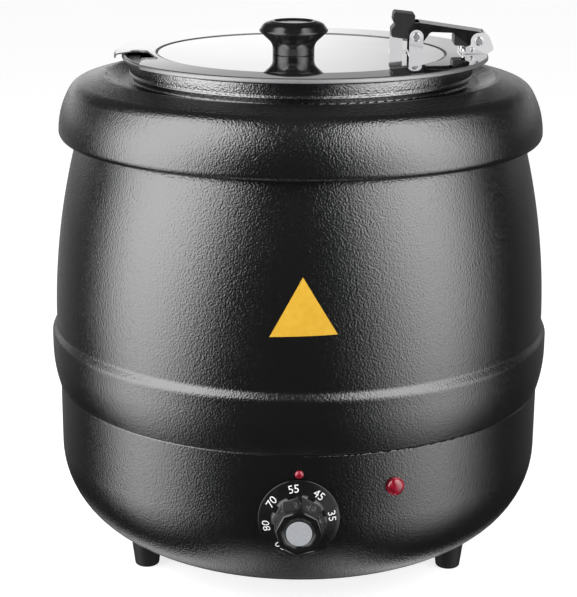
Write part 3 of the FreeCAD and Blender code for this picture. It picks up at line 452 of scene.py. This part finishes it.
lens = {"deep": (0.13, 0.003, 0.010, 1), "bright": (0.30, 0.010, 0.028, 1), "roughness": 0.08, "ior": 1.49,
        "cloud": 300, "coat": 0.6, "coatRoughness": 0.03}
pilotLens = {"turn": -69.0, "reach": 0.1636, "height": 0.0965, "radius": 0.0058, "rim": 0.0010, "dome": 0.0036,
             "slot": "amber_lens"}
indexBead = {"turn": -90.0, "reach": 0.1636, "height": 0.108, "radius": 0.0027, "rim": 0.0003, "dome": 0.0020,
             "slot": "red_lens"}
domeSteps = {"round": 64, "up": 14}


def lensFinish():
    finish, tree, shader = newFinish("red_lens", {"IOR": lens["ior"], "Roughness": lens["roughness"],
                                                  "Coat Weight": lens["coat"],
                                                  "Coat Roughness": lens["coatRoughness"]})
    point = objectPoint(tree)
    cloud = noise(tree, point, lens["cloud"], 2.0)
    tree.links.new(twoColours(tree, cloud, lens["deep"], lens["bright"]), shader.inputs["Base Color"])
    return finish


def domed(name, plan, finish, stands):
    profile = [(0.0, 0.0), (plan["radius"], 0.0), (plan["radius"], plan["rim"])]
    for step in range(1, domeSteps["up"] + 1):
        rise = math.pi / 2 * step / domeSteps["up"]
        profile.append((plan["radius"] * math.cos(rise), plan["rim"] + plan["dome"] * math.sin(rise)))
    turn = math.radians(plan["turn"])
    out = Vector((math.cos(turn), math.sin(turn), 0))
    side = Vector((-math.sin(turn), math.cos(turn), 0))
    middle = out * plan["reach"] + Vector((0, 0, plan["height"]))
    form = bmesh.new()
    lathe(form, profile, lambda radius, angle, rise: middle + out * rise + side * radius * math.cos(angle)
          + Vector((0, 0, radius * math.sin(angle))), domeSteps["round"])
    addPiece(name, form, finish, "casing", plan["slot"], stands)


redLens = lensFinish()
domed("pilot_lens_dome", pilotLens, redLens, "pilot_lamp_lens")
domed("index_bead_dome", indexBead, redLens, "index_lens")
print("plastics done")


# Lid ring: crowned sheet with a turned-down rim, a sunk ledge for the disc and the ladle notch
# All lengths are in metres

lidRing = {
    "top": 0.34125, "rim": 0.1227, "drop": 0.0028, "rimRound": 0.0024, "slope": 0.0005, "step": 0.0958,
    "stepRound": 0.0007, "ledge": 0.0943, "ledgeWidth": 0.007, "ledgeRound": 0.0004, "sunk": 0.0021, "sheet": 0.0009,
    "rounds": 240,
}
# the notch seen from above, from the rear of its mouth round its inner end to the rounded thumb in front
notch = {
    "plan": ((-0.126, -0.030), (-0.1085, -0.005, 0.004), (-0.1003, -0.008, 0.005), (-0.0915, -0.040, 0.003),
             (-0.1008, -0.042, 0.004), (-0.1007, -0.076), (-0.140, -0.090), (-0.150, -0.030)),
    "roll": 0.0007, "loops": 0.002, "bladeReach": 0.02, "steps": 16,
}


def uprightAt(x, y):
    return lambda radius, angle, along: Vector((x + radius * math.cos(angle), y + radius * math.sin(angle), along))


def ringForm():
    top, sheet = lidRing["top"], lidRing["sheet"]
    low, sunk = top - lidRing["drop"], top - lidRing["sunk"]
    inner = lidRing["ledge"] - lidRing["ledgeWidth"]
    outside = roundedPath([
        (lidRing["rim"], low), (lidRing["rim"], top, lidRing["rimRound"]),
        (lidRing["step"], top - lidRing["slope"], lidRing["stepRound"]),
        (lidRing["ledge"], sunk, lidRing["ledgeRound"]), (inner, sunk)])
    inside = roundedPath([
        (inner, sunk - sheet), (lidRing["ledge"] + sheet, sunk - sheet),
        (lidRing["step"] + sheet, top - lidRing["slope"] - sheet),
        (lidRing["rim"] - sheet, top - sheet, lidRing["rimRound"] - sheet), (lidRing["rim"] - sheet, low)])
    form = bmesh.new()
    lathe(form, withLoops(outside + inside + outside[:1]), uprightAt(0, 0), lidRing["rounds"])
    ring = addPiece("lid_ring_form", form, crownedSteel, "ring", "polished_steel", "lid_ring")
    knife = bmesh.new()
    outline = roundedPath(notch["plan"], closed=True, steps=notch["steps"])
    lower = [knife.verts.new((spot.x, spot.y, top - notch["bladeReach"])) for spot in outline]
    upper = [knife.verts.new((spot.x, spot.y, top + notch["bladeReach"])) for spot in outline]
    knife.faces.new(lower)
    knife.faces.new(upper)
    for index in range(len(outline)):
        following = (index + 1) % len(outline)
        knife.faces.new((lower[index], lower[following], upper[following], upper[index]))
    bmesh.ops.recalc_face_normals(knife, faces=knife.faces)
    blade = bpy.data.objects.new("notch_blade", bpy.data.meshes.new("notch_blade"))
    knife.to_mesh(blade.data)
    knife.free()
    scene.collection.objects.link(blade)
    cut = ring.modifiers.new("notch", "BOOLEAN")
    cut.operation = "DIFFERENCE"
    cut.solver = "EXACT"
    cut.object = blade
    bpy.context.view_layer.update()
    cutRing = bmesh.new()
    cutRing.from_mesh(ring.evaluated_get(bpy.context.evaluated_depsgraph_get()).to_mesh())
    ring.modifiers.clear()
    bpy.data.objects.remove(blade)
    # the notch's edge is rolled over
    rim = lidRing["rim"] - lidRing["rimRound"]
    edge = [Vector((spot.x, spot.y, top - notch["roll"] / 2)) for spot in withLoops(outline, notch["loops"])
            if spot.length < rim]
    tube(cutRing, edge, notch["roll"])
    bmesh.ops.recalc_face_normals(cutRing, faces=cutRing.faces)
    cutRing.to_mesh(ring.data)
    cutRing.free()
    ring.data.shade_smooth()
    ring.data.set_sharp_from_angle(angle=math.radians(sharpFrom))


# Barrel shell, whose band narrows gently to the seam

barrelShell = {
    "outside": ((0.1616, 0.1205), (0.1643, 0.1205, 0.0008), (0.168, 0.134, 0.085), (0.168, 0.156, 0.005),
                (0.165, 0.1605, 0.004), (0.165, 0.24768, 0.465), (0.13466, 0.3275)),
    "wall": 0.0008, "top": 0.290, "rounds": 240, "steps": 24, "loops": 0.0006,
}


def barrelForm():
    path = roundedPath(barrelShell["outside"], steps=barrelShell["steps"])
    outside = [spot for spot in withLoops(path, barrelShell["loops"]) if spot.y <= barrelShell["top"]]
    inside = [Vector((spot.x - barrelShell["wall"], max(spot.y, outside[0].y + barrelShell["wall"])))
              for spot in reversed(outside)]
    form = bmesh.new()
    lathe(form, outside + inside + outside[:1], uprightAt(0, 0), barrelShell["rounds"])
    addPiece("body_barrel_form", form, bodyCoat, "casing", "textured_black", "body_barrel")


# Neck under the ring, with a flared lower lip

neck = {
    "path": ((0.1107, 0.3274), (0.1134, 0.3274, 0.0003), (0.1125, 0.3292, 0.0015), (0.1125, 0.337, 0.0015),
             (0.106, 0.337, 0.0005), (0.106, 0.329), (0.107, 0.329), (0.107, 0.334), (0.1107, 0.334), (0.1107, 0.3274)),
    "rounds": 240,
}


def neckForm():
    form = bmesh.new()
    lathe(form, withLoops(roundedPath(neck["path"])), uprightAt(0, 0), neck["rounds"])
    addPiece("neck_ring_form", form, neckCoat, "casing", "matte_black", "neck_ring")


# Lid disc and knob

lidDisc = {"radius": 0.094, "top": 0.34015, "wall": 0.001, "edge": 0.0003, "rounds": 192}
knob = {
    "place": (-0.005, -0.010), "stem": 0.0137, "stemHeight": 0.0069, "flare": 0.007, "rim": 0.0228,
    "rimHeight": 0.0153, "shoulder": 0.0194, "shoulderHeight": 0.0201, "shoulderRound": 0.005, "crown": 0.0142,
    "height": 0.0217, "dish": 0.0130, "dishDepth": 0.001, "footRound": 0.0006, "rimRound": 0.001, "crownRound": 0.0008,
    "dishRound": 0.0003, "rounds": 128,
}


def discForm():
    top, under = lidDisc["top"], lidDisc["top"] - lidDisc["wall"]
    form = bmesh.new()
    path = roundedPath([(0, under), (lidDisc["radius"], under, lidDisc["edge"]),
                        (lidDisc["radius"], top, lidDisc["edge"]), (0, top)])
    lathe(form, withLoops(path), uprightAt(0, 0), lidDisc["rounds"])
    addPiece("lid_disc_form", form, mirrorSteel, "lid", "polished_steel", "lid_disc", sharp=30)


def knobForm():
    low = lidDisc["top"]
    top = low + knob["height"]
    dishRound = knob["dishRound"]
    path = roundedPath([
        (0, low), (knob["stem"], low, knob["footRound"]), (knob["stem"], low + knob["stemHeight"], knob["flare"]),
        (knob["rim"], low + knob["rimHeight"], knob["rimRound"]),
        (knob["shoulder"], low + knob["shoulderHeight"], knob["shoulderRound"]),
        (knob["crown"], top, knob["crownRound"]), (knob["dish"], top, dishRound),
        (knob["dish"] - knob["dishDepth"], top - knob["dishDepth"], dishRound), (0, top - knob["dishDepth"])])
    form = bmesh.new()
    lathe(form, withLoops(path), uprightAt(*knob["place"]), knob["rounds"])
    addPiece("lid_knob_form", form, moulded["gloss_moulding"], "lid", "gloss_black", "lid_knob", sharp=50)


# Hinge pins with domed heads, the clevis on the disc and the release lever

clevisPin = (0.0749, 0.35194574)
hingePins = {
    "hinge_pin": {"at": (0.1157, 0.34944574), "radius": 0.002, "head": 0.0030, "body": "ring"},
    "stop_pin": {"at": (0.1114, 0.34384574), "radius": 0.001, "head": 0.0017, "body": "ring"},
    "release_pin": {"at": clevisPin, "radius": 0.002, "head": 0.0030, "body": "lid"},
}
pinShape = {"half": 0.012, "wall": 0.0013, "round": 0.0010, "headShare": 0.6, "rounds": 48}
roundShare = 0.98             # an ear's round takes up nearly its half width
clevis = {
    "half": 0.012, "sheet": 0.0015, "earHalf": 0.0045, "toe": 0.0164, "strip": 0.006, "tabStart": 0.0076,
    "tabRise": 0.0116,
}
lever = {
    "half": 0.0084, "boss": 0.0044, "toe": 0.0162, "baseDrop": 0.0034, "toeDrop": 0.0006, "bodyRise": 0.0066,
    "step": 0.0022, "tabRise": 0.0156, "tabStart": 0.0088, "tabThick": 0.0148, "round": 0.0015,
}


def pinForms():
    for name, plan in hingePins.items():
        half, wall, head = pinShape["half"], pinShape["wall"], plan["head"]
        bow = min(pinShape["round"], head * pinShape["headShare"])
        path = roundedPath([
            (0, -half - wall), (head, -half - wall, bow), (head, -half), (plan["radius"], -half),
            (plan["radius"], half), (head, half), (head, half + wall, bow), (0, half + wall)])
        x, z = plan["at"]
        form = bmesh.new()
        lathe(form, path, lambda radius, angle, along: Vector((x + radius * math.cos(angle), along,
                                                               z + radius * math.sin(angle))), pinShape["rounds"])
        addPiece(name + "_form", form, pinPlate, plan["body"], "polished_steel", name, sharp=50)


def clevisForm():
    x, z = clevisPin
    base, half, sheet, ear = lidDisc["top"], clevis["half"], clevis["sheet"], clevis["earHalf"]
    inner = half - sheet
    toe = x - clevis["toe"]
    earOutline = roundedPath([(x - ear, base), (x + ear, base), (x + ear, z + ear, ear * roundShare),
                              (x - ear, z + ear, ear * roundShare)], closed=True)
    form = bmesh.new()
    plate(form, earOutline, -half, -inner)
    plate(form, earOutline, inner, half)
    tabEnd = x - clevis["tabStart"]
    plate(form, roundedPath([(toe, base), (tabEnd, base), (tabEnd, base + clevis["tabRise"], sheet),
                             (toe, base + clevis["tabRise"], sheet)], closed=True), inner, half)
    plate(form, [(x - ear, base), (x + ear, base), (x + ear, base + sheet), (x - ear, base + sheet)], -inner, inner)
    plate(form, [(toe, base), (x - ear, base), (x - ear, base + sheet), (toe, base + sheet)],
          inner - clevis["strip"], inner)
    addPiece("lid_clevis_form", form, mirrorSteel, "lid", "polished_steel", "lid_clevis", "clevis_rivets")


def leverForm():
    x, z = clevisPin
    boss, rounded = lever["boss"], lever["round"]
    toe = x - lever["toe"]
    tabLow, tabTop, bodyTop = z + lever["tabStart"], z + lever["tabRise"], z + lever["bodyRise"]
    tabRight = toe + lever["tabThick"]
    outline = roundedPath([
        (x + boss, z - lever["baseDrop"], rounded), (x + boss, z + boss, boss * roundShare),
        (tabRight, tabLow, rounded / 2), (tabRight + rounded / 2, tabTop - rounded, rounded),
        (toe + rounded, tabTop, rounded), (toe + rounded / 2, tabLow + rounded / 2, rounded / 2),
        (toe + lever["step"], tabLow, rounded / 4), (toe + lever["step"], bodyTop, rounded / 4),
        (toe, bodyTop - lever["step"], rounded), (toe, z - lever["toeDrop"], rounded)], closed=True)
    form = bmesh.new()
    plate(form, outline, -lever["half"], lever["half"])
    addPiece("release_lever_form", form, moulded["matte_moulding"], "lever", "matte_black", "release_lever")


ringForm()
barrelForm()
neckForm()
discForm()
knobForm()
pinForms()
clevisForm()
leverForm()
print("lid and shell forms done")


# Dial: its grip stands a little turned on its skirt, which carries the numbers

dialMarks = {
    "centre": (0, -0.1641, 0.08),
    "gripTurn": -17.5,
    "names": ("35", "45", "55", "70", "80", "90"),
    "firstTurn": 82.5,        # degrees clockwise from the top, seen from the front
    "step": -46.0,
    "size": 0.0070,
    "middle": 0.0201,         # radius of the numbers' middle line
    "skirtRim": (0.025, 0.0012),
    "skirtTop": (0.015, 0.005),
    "stand": 0.00008,
    "ink": 900,
    "first": (0.70, 0.70, 0.69, 1),
    "second": (0.80, 0.80, 0.79, 1),
    "roughness": (0.45, 0.6),
}


def dialForm():
    form = bmesh.new()
    form.from_mesh(nodes["thermostat_dial"].data)
    form.transform(nodes["thermostat_dial"].matrix_world)
    bmesh.ops.rotate(form, verts=form.verts, cent=dialMarks["centre"],
                     matrix=Matrix.Rotation(math.radians(dialMarks["gripTurn"]), 3, "Y"))
    addPiece("thermostat_dial_form", form, moulded["gloss_moulding"], "dial", "gloss_black", "thermostat_dial",
             sharp=30)


def markFinish():
    finish, tree, shader = newFinish("mark_paint", {"Specular IOR Level": 0.3})
    point = objectPoint(tree)
    ink = noise(tree, point, dialMarks["ink"], 2.0)
    tree.links.new(twoColours(tree, ink, dialMarks["first"], dialMarks["second"]), shader.inputs["Base Color"])
    tree.links.new(spread(tree, ink, *dialMarks["roughness"]), shader.inputs["Roughness"])
    return finish


def flatText(word, size):
    curve = bpy.data.curves.new("word", "FONT")
    curve.body = word
    curve.size = size
    curve.align_x = "CENTER"
    curve.align_y = "CENTER"
    curve.resolution_u = 6
    carrier = bpy.data.objects.new("word", curve)
    scene.collection.objects.link(carrier)
    bpy.context.view_layer.update()
    mesh = bpy.data.meshes.new_from_object(carrier)
    bpy.data.objects.remove(carrier)
    return mesh


def dialNumbers():
    rim, top = dialMarks["skirtRim"], dialMarks["skirtTop"]
    run = Vector((top[0] - rim[0], top[1] - rim[1]))
    way = run.normalized()
    ink = markFinish()
    for index, word in enumerate(dialMarks["names"]):
        mesh = flatText(word, dialMarks["size"])
        turn = math.radians(dialMarks["firstTurn"] + dialMarks["step"] * index)
        for vertex in mesh.vertices:
            across, outward = vertex.co.x, vertex.co.y
            radius = dialMarks["middle"] - outward * way.x
            angle = turn + across / dialMarks["middle"]
            height = rim[1] + (radius - rim[0]) * way.y / way.x + dialMarks["stand"]
            vertex.co = Vector(dialMarks["centre"]) + Vector((
                radius * math.sin(angle), -height, radius * math.cos(angle)))
        number = bpy.data.objects.new("dial_number_" + word, mesh)
        scene.collection.objects.link(number)
        mesh.materials.append(ink)
        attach(number, "dial")


dialForm()
dialNumbers()
print("dial done")


# Plain yellow triangle stuck on the barrel's front

sticker = {
    "corners": ((0.0012, 0.2306), (-0.0184, 0.1948), (0.0221, 0.1965)),
    "stand": 0.00030,
    "rows": 24,
    "first": (0.55, 0.31, 0.022, 1),
    "second": (0.60, 0.35, 0.030, 1),
    "cloud": 260,
    "roughness": (0.32, 0.46),
    "barrel": {"radius": 0.165, "arc": 0.465, "start": 0.1623},
}


def onBarrel(x, z, stand):
    barrel = sticker["barrel"]
    drop = barrel["arc"] - math.sqrt(barrel["arc"] ** 2 - max(z - barrel["start"], 0) ** 2)
    return Vector((x, -math.sqrt((barrel["radius"] - drop + stand) ** 2 - x * x), z))


def stickerFinish():
    finish, tree, shader = newFinish("yellow_vinyl", {"Specular IOR Level": 0.4})
    point = objectPoint(tree)
    cloud = noise(tree, point, sticker["cloud"], 3.0)
    tree.links.new(twoColours(tree, cloud, sticker["first"], sticker["second"]), shader.inputs["Base Color"])
    tree.links.new(spread(tree, cloud, *sticker["roughness"]), shader.inputs["Roughness"])
    return finish


def stickerSheet():
    top, left, right = (Vector(corner) for corner in sticker["corners"])
    form = bmesh.new()
    rows = []
    for row in range(sticker["rows"] + 1):
        share = row / sticker["rows"]
        first, last = top.lerp(left, share), top.lerp(right, share)
        spots = [first.lerp(last, step / row) if row else top for step in range(row + 1)]
        rows.append([form.verts.new(onBarrel(spot.x, spot.y, sticker["stand"])) for spot in spots])
    for upper, lower in zip(rows, rows[1:]):
        for step in range(len(upper)):
            form.faces.new((upper[step], lower[step], lower[step + 1]))
            if step:
                form.faces.new((upper[step - 1], lower[step], upper[step]))
    addPiece("front_sticker", form, stickerFinish(), "casing", "ivory_plastic")


stickerSheet()
print("sticker done")


# Stage: pale floor, white surroundings, softboxes and the camera

floorPlan = {"size": 8.0, "pale": 0.5, "glow": 0.78}
surround = {"ambient": 0.35, "backdrop": 1.15, "dim": 0.02, "top": 0.06, "underFoot": 0.25,
            "rightLevel": 0.55, "pools": 1.1}
# where each of these fades in or out, along one axis of the direction seen
fades = {"foot": (-0.06, 0.0), "footEnd": (-0.45, -0.25), "behind": (0.4, 0.95), "overhead": (0.2, 0.9),
         "right": (-0.01, 0.1), "poolsBehind": (-0.45, -0.1), "poolsBelow": (-0.7, -0.45)}
# how bright the backdrop is, from its foot to straight up
backdropRise = ((0.0, 1.0), (0.125, 1.0), (0.155, 0.8), (0.23, 0.3), (0.35, 0.12), (0.5, 0.06), (1.0, 0.04))
# two pools of light on the paper under the bowl, from left to right, as the bowl's underside sees them
floorPools = ((0.29, 0.0), (0.32, 0.4), (0.35, 1.0), (0.40, 0.7), (0.45, 0.15), (0.5, 0.06), (0.55, 0.2),
              (0.60, 1.0), (0.63, 0.6), (0.66, 0.0))
steelNodes = ("lid_ring_form", "lid_disc_form", "hinge_bracket", "hinge_pin_form", "stop_pin_form",
              "bracket_rivets", "lid_clevis_form", "release_pin_form")
# each edge of a softbox fades from the first to the second value of (inward, up) times its weights, in metres
# from the lamp's middle line and from the floor, down to its foot level
lamps = {
    "left_softbox": {"azimuth": -69, "distance": 0.7, "height": 0.65, "wide": 1.5, "tall": 2.8, "radiance": 4.6,
                     "edges": {"outer": ((1, 0), -0.44, -0.04, 0), "inner": ((1, -0.4), 0.54, 0.04, 0),
                               "low": ((0, 1), -0.85, 0.48, 0), "high": ((1.15, 1), 2.0, 1.6, 0)}},
    "right_softbox": {"azimuth": 65, "distance": 0.7, "height": 0.65, "wide": 1.7, "tall": 2.8, "radiance": 4.3,
                      "edges": {"outer": ((1, 0), -0.38, 0.12, 0), "inner": ((1, -0.31), 0.68, 0.03, 0),
                                "low": ((0, 1), -0.85, 0.7, 0), "high": ((1.05, 1), 2.1, 1.7, 0)}},
    "top_card": {"azimuth": 0, "distance": 0.2, "height": 1.7, "wide": 2.2, "tall": 2.2, "radiance": 0.5,
                 "onSteel": True},
    "front_card": {"azimuth": 0, "distance": 2.4, "height": 0.2, "wide": 3.4, "tall": 2.6, "radiance": 0.8,
                   "onSteel": True},
}
lampAim = 0.2
view = {"place": (-0.0072, -1.1, 0.4923), "down": 16.29, "roll": 0.378, "lens": 100.58, "sensor": 36,
        "clip": (0.01, 50)}


def mixShaders(tree, factor, first, second):
    node = addNode(tree, "ShaderNodeMixShader")
    for socket, output in zip(node.inputs, (factor, first, second)):
        tree.links.new(output, socket)
    return node.outputs["Shader"]


def floorFinish():
    finish = bpy.data.materials.new("floor_paper")
    finish.use_nodes = True
    tree = finish.node_tree
    tree.nodes.clear()
    output = addNode(tree, "ShaderNodeOutputMaterial")
    paper = addNode(tree, "ShaderNodeBsdfDiffuse", {"Color": (floorPlan["pale"],) * 3 + (1,)})
    glow = addNode(tree, "ShaderNodeEmission", {"Strength": floorPlan["glow"]})
    dark = addNode(tree, "ShaderNodeEmission", {"Strength": 0.0})
    clear = addNode(tree, "ShaderNodeBsdfTransparent")
    rays = addNode(tree, "ShaderNodeLightPath").outputs
    lit = addNode(tree, "ShaderNodeAddShader")
    tree.links.new(paper.outputs["BSDF"], lit.inputs[0])
    tree.links.new(mixShaders(tree, rays["Is Camera Ray"], dark.outputs["Emission"], glow.outputs["Emission"]),
                   lit.inputs[1])
    # the paper doesn't show in reflections and doesn't hide the softboxes' lower ends
    through = mathOf(tree, "MAXIMUM", rays["Is Glossy Ray"], rays["Is Shadow Ray"])
    tree.links.new(mixShaders(tree, through, lit.outputs["Shader"], clear.outputs["BSDF"]), output.inputs["Surface"])
    return finish


def layFloor():
    mesh = bpy.data.meshes.new("floor")
    plan = bmesh.new()
    bmesh.ops.create_grid(plan, x_segments=8, y_segments=8, size=floorPlan["size"] / 2)
    plan.to_mesh(mesh)
    plan.free()
    mesh.materials.append(floorFinish())
    floor = bpy.data.objects.new("floor", mesh)
    scene.collection.objects.link(floor)


def hangSurround():
    world = bpy.data.worlds.new("surround")
    scene.world = world
    world.use_nodes = True
    tree = world.node_tree
    tree.nodes.clear()
    output = addNode(tree, "ShaderNodeOutputWorld")
    rays = addNode(tree, "ShaderNodeLightPath").outputs
    way = partsOf(tree, addNode(tree, "ShaderNodeTexCoord").outputs["Generated"])
    # a white backdrop behind, which fades upwards and to the right, as reflections see it
    across = spread(tree, way["X"], 1, surround["rightLevel"], *fades["right"])
    rise = mathOf(tree, "MULTIPLY", greyRamp(tree, way["Z"], backdropRise), across)
    bright = mathOf(tree, "MULTIPLY", rise, surround["backdrop"])
    low = spread(tree, way["Z"], surround["underFoot"], 1, *fades["foot"])
    behind = mathOf(tree, "MULTIPLY", low, spread(tree, way["Y"], 0, 1, *fades["behind"]))
    sheet = mathOf(tree, "MULTIPLY", behind, spread(tree, way["Z"], 0, 1, *fades["footEnd"]))
    upper = spread(tree, way["Z"], surround["dim"], surround["top"], *fades["overhead"])
    gloss = mixOf(tree, "FLOAT", sheet, upper, bright)
    pools = greyRamp(tree, spread(tree, way["X"], 0, 1, -1, 1), floorPools)
    under = mathOf(tree, "MULTIPLY", spread(tree, way["Y"], 0, 1, *fades["poolsBehind"]),
                   spread(tree, way["Z"], surround["pools"], 0, *fades["poolsBelow"]))
    seenInGloss = mathOf(tree, "MULTIPLY_ADD", pools, under, gloss)
    unseen = mixOf(tree, "FLOAT", rays["Is Glossy Ray"], surround["ambient"], seenInGloss)
    strength = mixOf(tree, "FLOAT", rays["Is Camera Ray"], unseen, 1.0)
    light = addNode(tree, "ShaderNodeBackground", {"Color": (1, 1, 1, 1)})
    tree.links.new(strength, light.inputs["Strength"])
    tree.links.new(light.outputs["Background"], output.inputs["Surface"])


# A softbox's brightness over its own face, fading towards the edges that the plan gives
def fadeLamp(lamp, plan):
    lamp.use_nodes = True
    tree = lamp.node_tree
    spot = addNode(tree, "ShaderNodeNewGeometry").outputs["Parametric"]
    # a lamp's own X runs to the front on the left and to the back on the right
    inward = plan["wide"] if plan["azimuth"] < 0 else -plan["wide"]
    level = None
    for weights, start, end, foot in plan["edges"].values():
        reach = vectorOf(tree, "DOT_PRODUCT", spot, (weights[0] * inward, weights[1] * plan["tall"], 0))
        corner = weights[0] * -inward / 2 + weights[1] * (plan["height"] - plan["tall"] / 2)
        # the ramp runs upwards, so a falling edge is turned round
        way = 1 if end > start else -1
        turned = mathOf(tree, "MULTIPLY_ADD", reach, way, way * corner)
        ramp = addNode(tree, "ShaderNodeMapRange", {"From Min": way * start, "From Max": way * end, "To Min": foot},
                       interpolation_type="SMOOTHSTEP")
        tree.links.new(turned, ramp.inputs["Value"])
        edge = ramp.outputs["Result"]
        level = mathOf(tree, "MULTIPLY", level, edge) if level else edge
    tree.links.new(level, tree.nodes["Emission"].inputs["Strength"])


def hangLamps():
    steel = bpy.data.collections.new("steel_pieces")
    for name in steelNodes:
        steel.objects.link(nodes.get(name) or bpy.data.objects[name])
    for name, plan in lamps.items():
        lamp = bpy.data.lights.new(name, "AREA")
        lamp.shape = "RECTANGLE"
        lamp.size = plan["wide"]
        lamp.size_y = plan["tall"]
        lamp.energy = plan["radiance"] * plan["wide"] * plan["tall"] * math.pi
        carrier = bpy.data.objects.new(name, lamp)
        scene.collection.objects.link(carrier)
        turn = math.radians(plan["azimuth"])
        carrier.location = (plan["distance"] * math.sin(turn), -plan["distance"] * math.cos(turn), plan["height"])
        aim = Vector((0, 0, lampAim)) - carrier.location
        if name != "top_card":
            aim.z = 0
        carrier.rotation_euler = aim.to_track_quat("-Z", "Y").to_matrix().to_euler()
        if "edges" in plan:
            fadeLamp(lamp, plan)
        if plan.get("onSteel"):
            carrier.light_linking.receiver_collection = steel


def setCamera():
    camera = bpy.data.cameras.new("view")
    camera.lens = view["lens"]
    camera.sensor_width = view["sensor"]
    camera.clip_start, camera.clip_end = view["clip"]
    carrier = bpy.data.objects.new("view", camera)
    scene.collection.objects.link(carrier)
    carrier.matrix_world = (Matrix.Translation(view["place"])
                            @ Matrix.Rotation(math.radians(90 - view["down"]), 4, "X")
                            @ Matrix.Rotation(math.radians(view["roll"]), 4, "Z"))
    scene.camera = carrier


layFloor()
hangSurround()
hangLamps()
setCamera()
print("stage done")
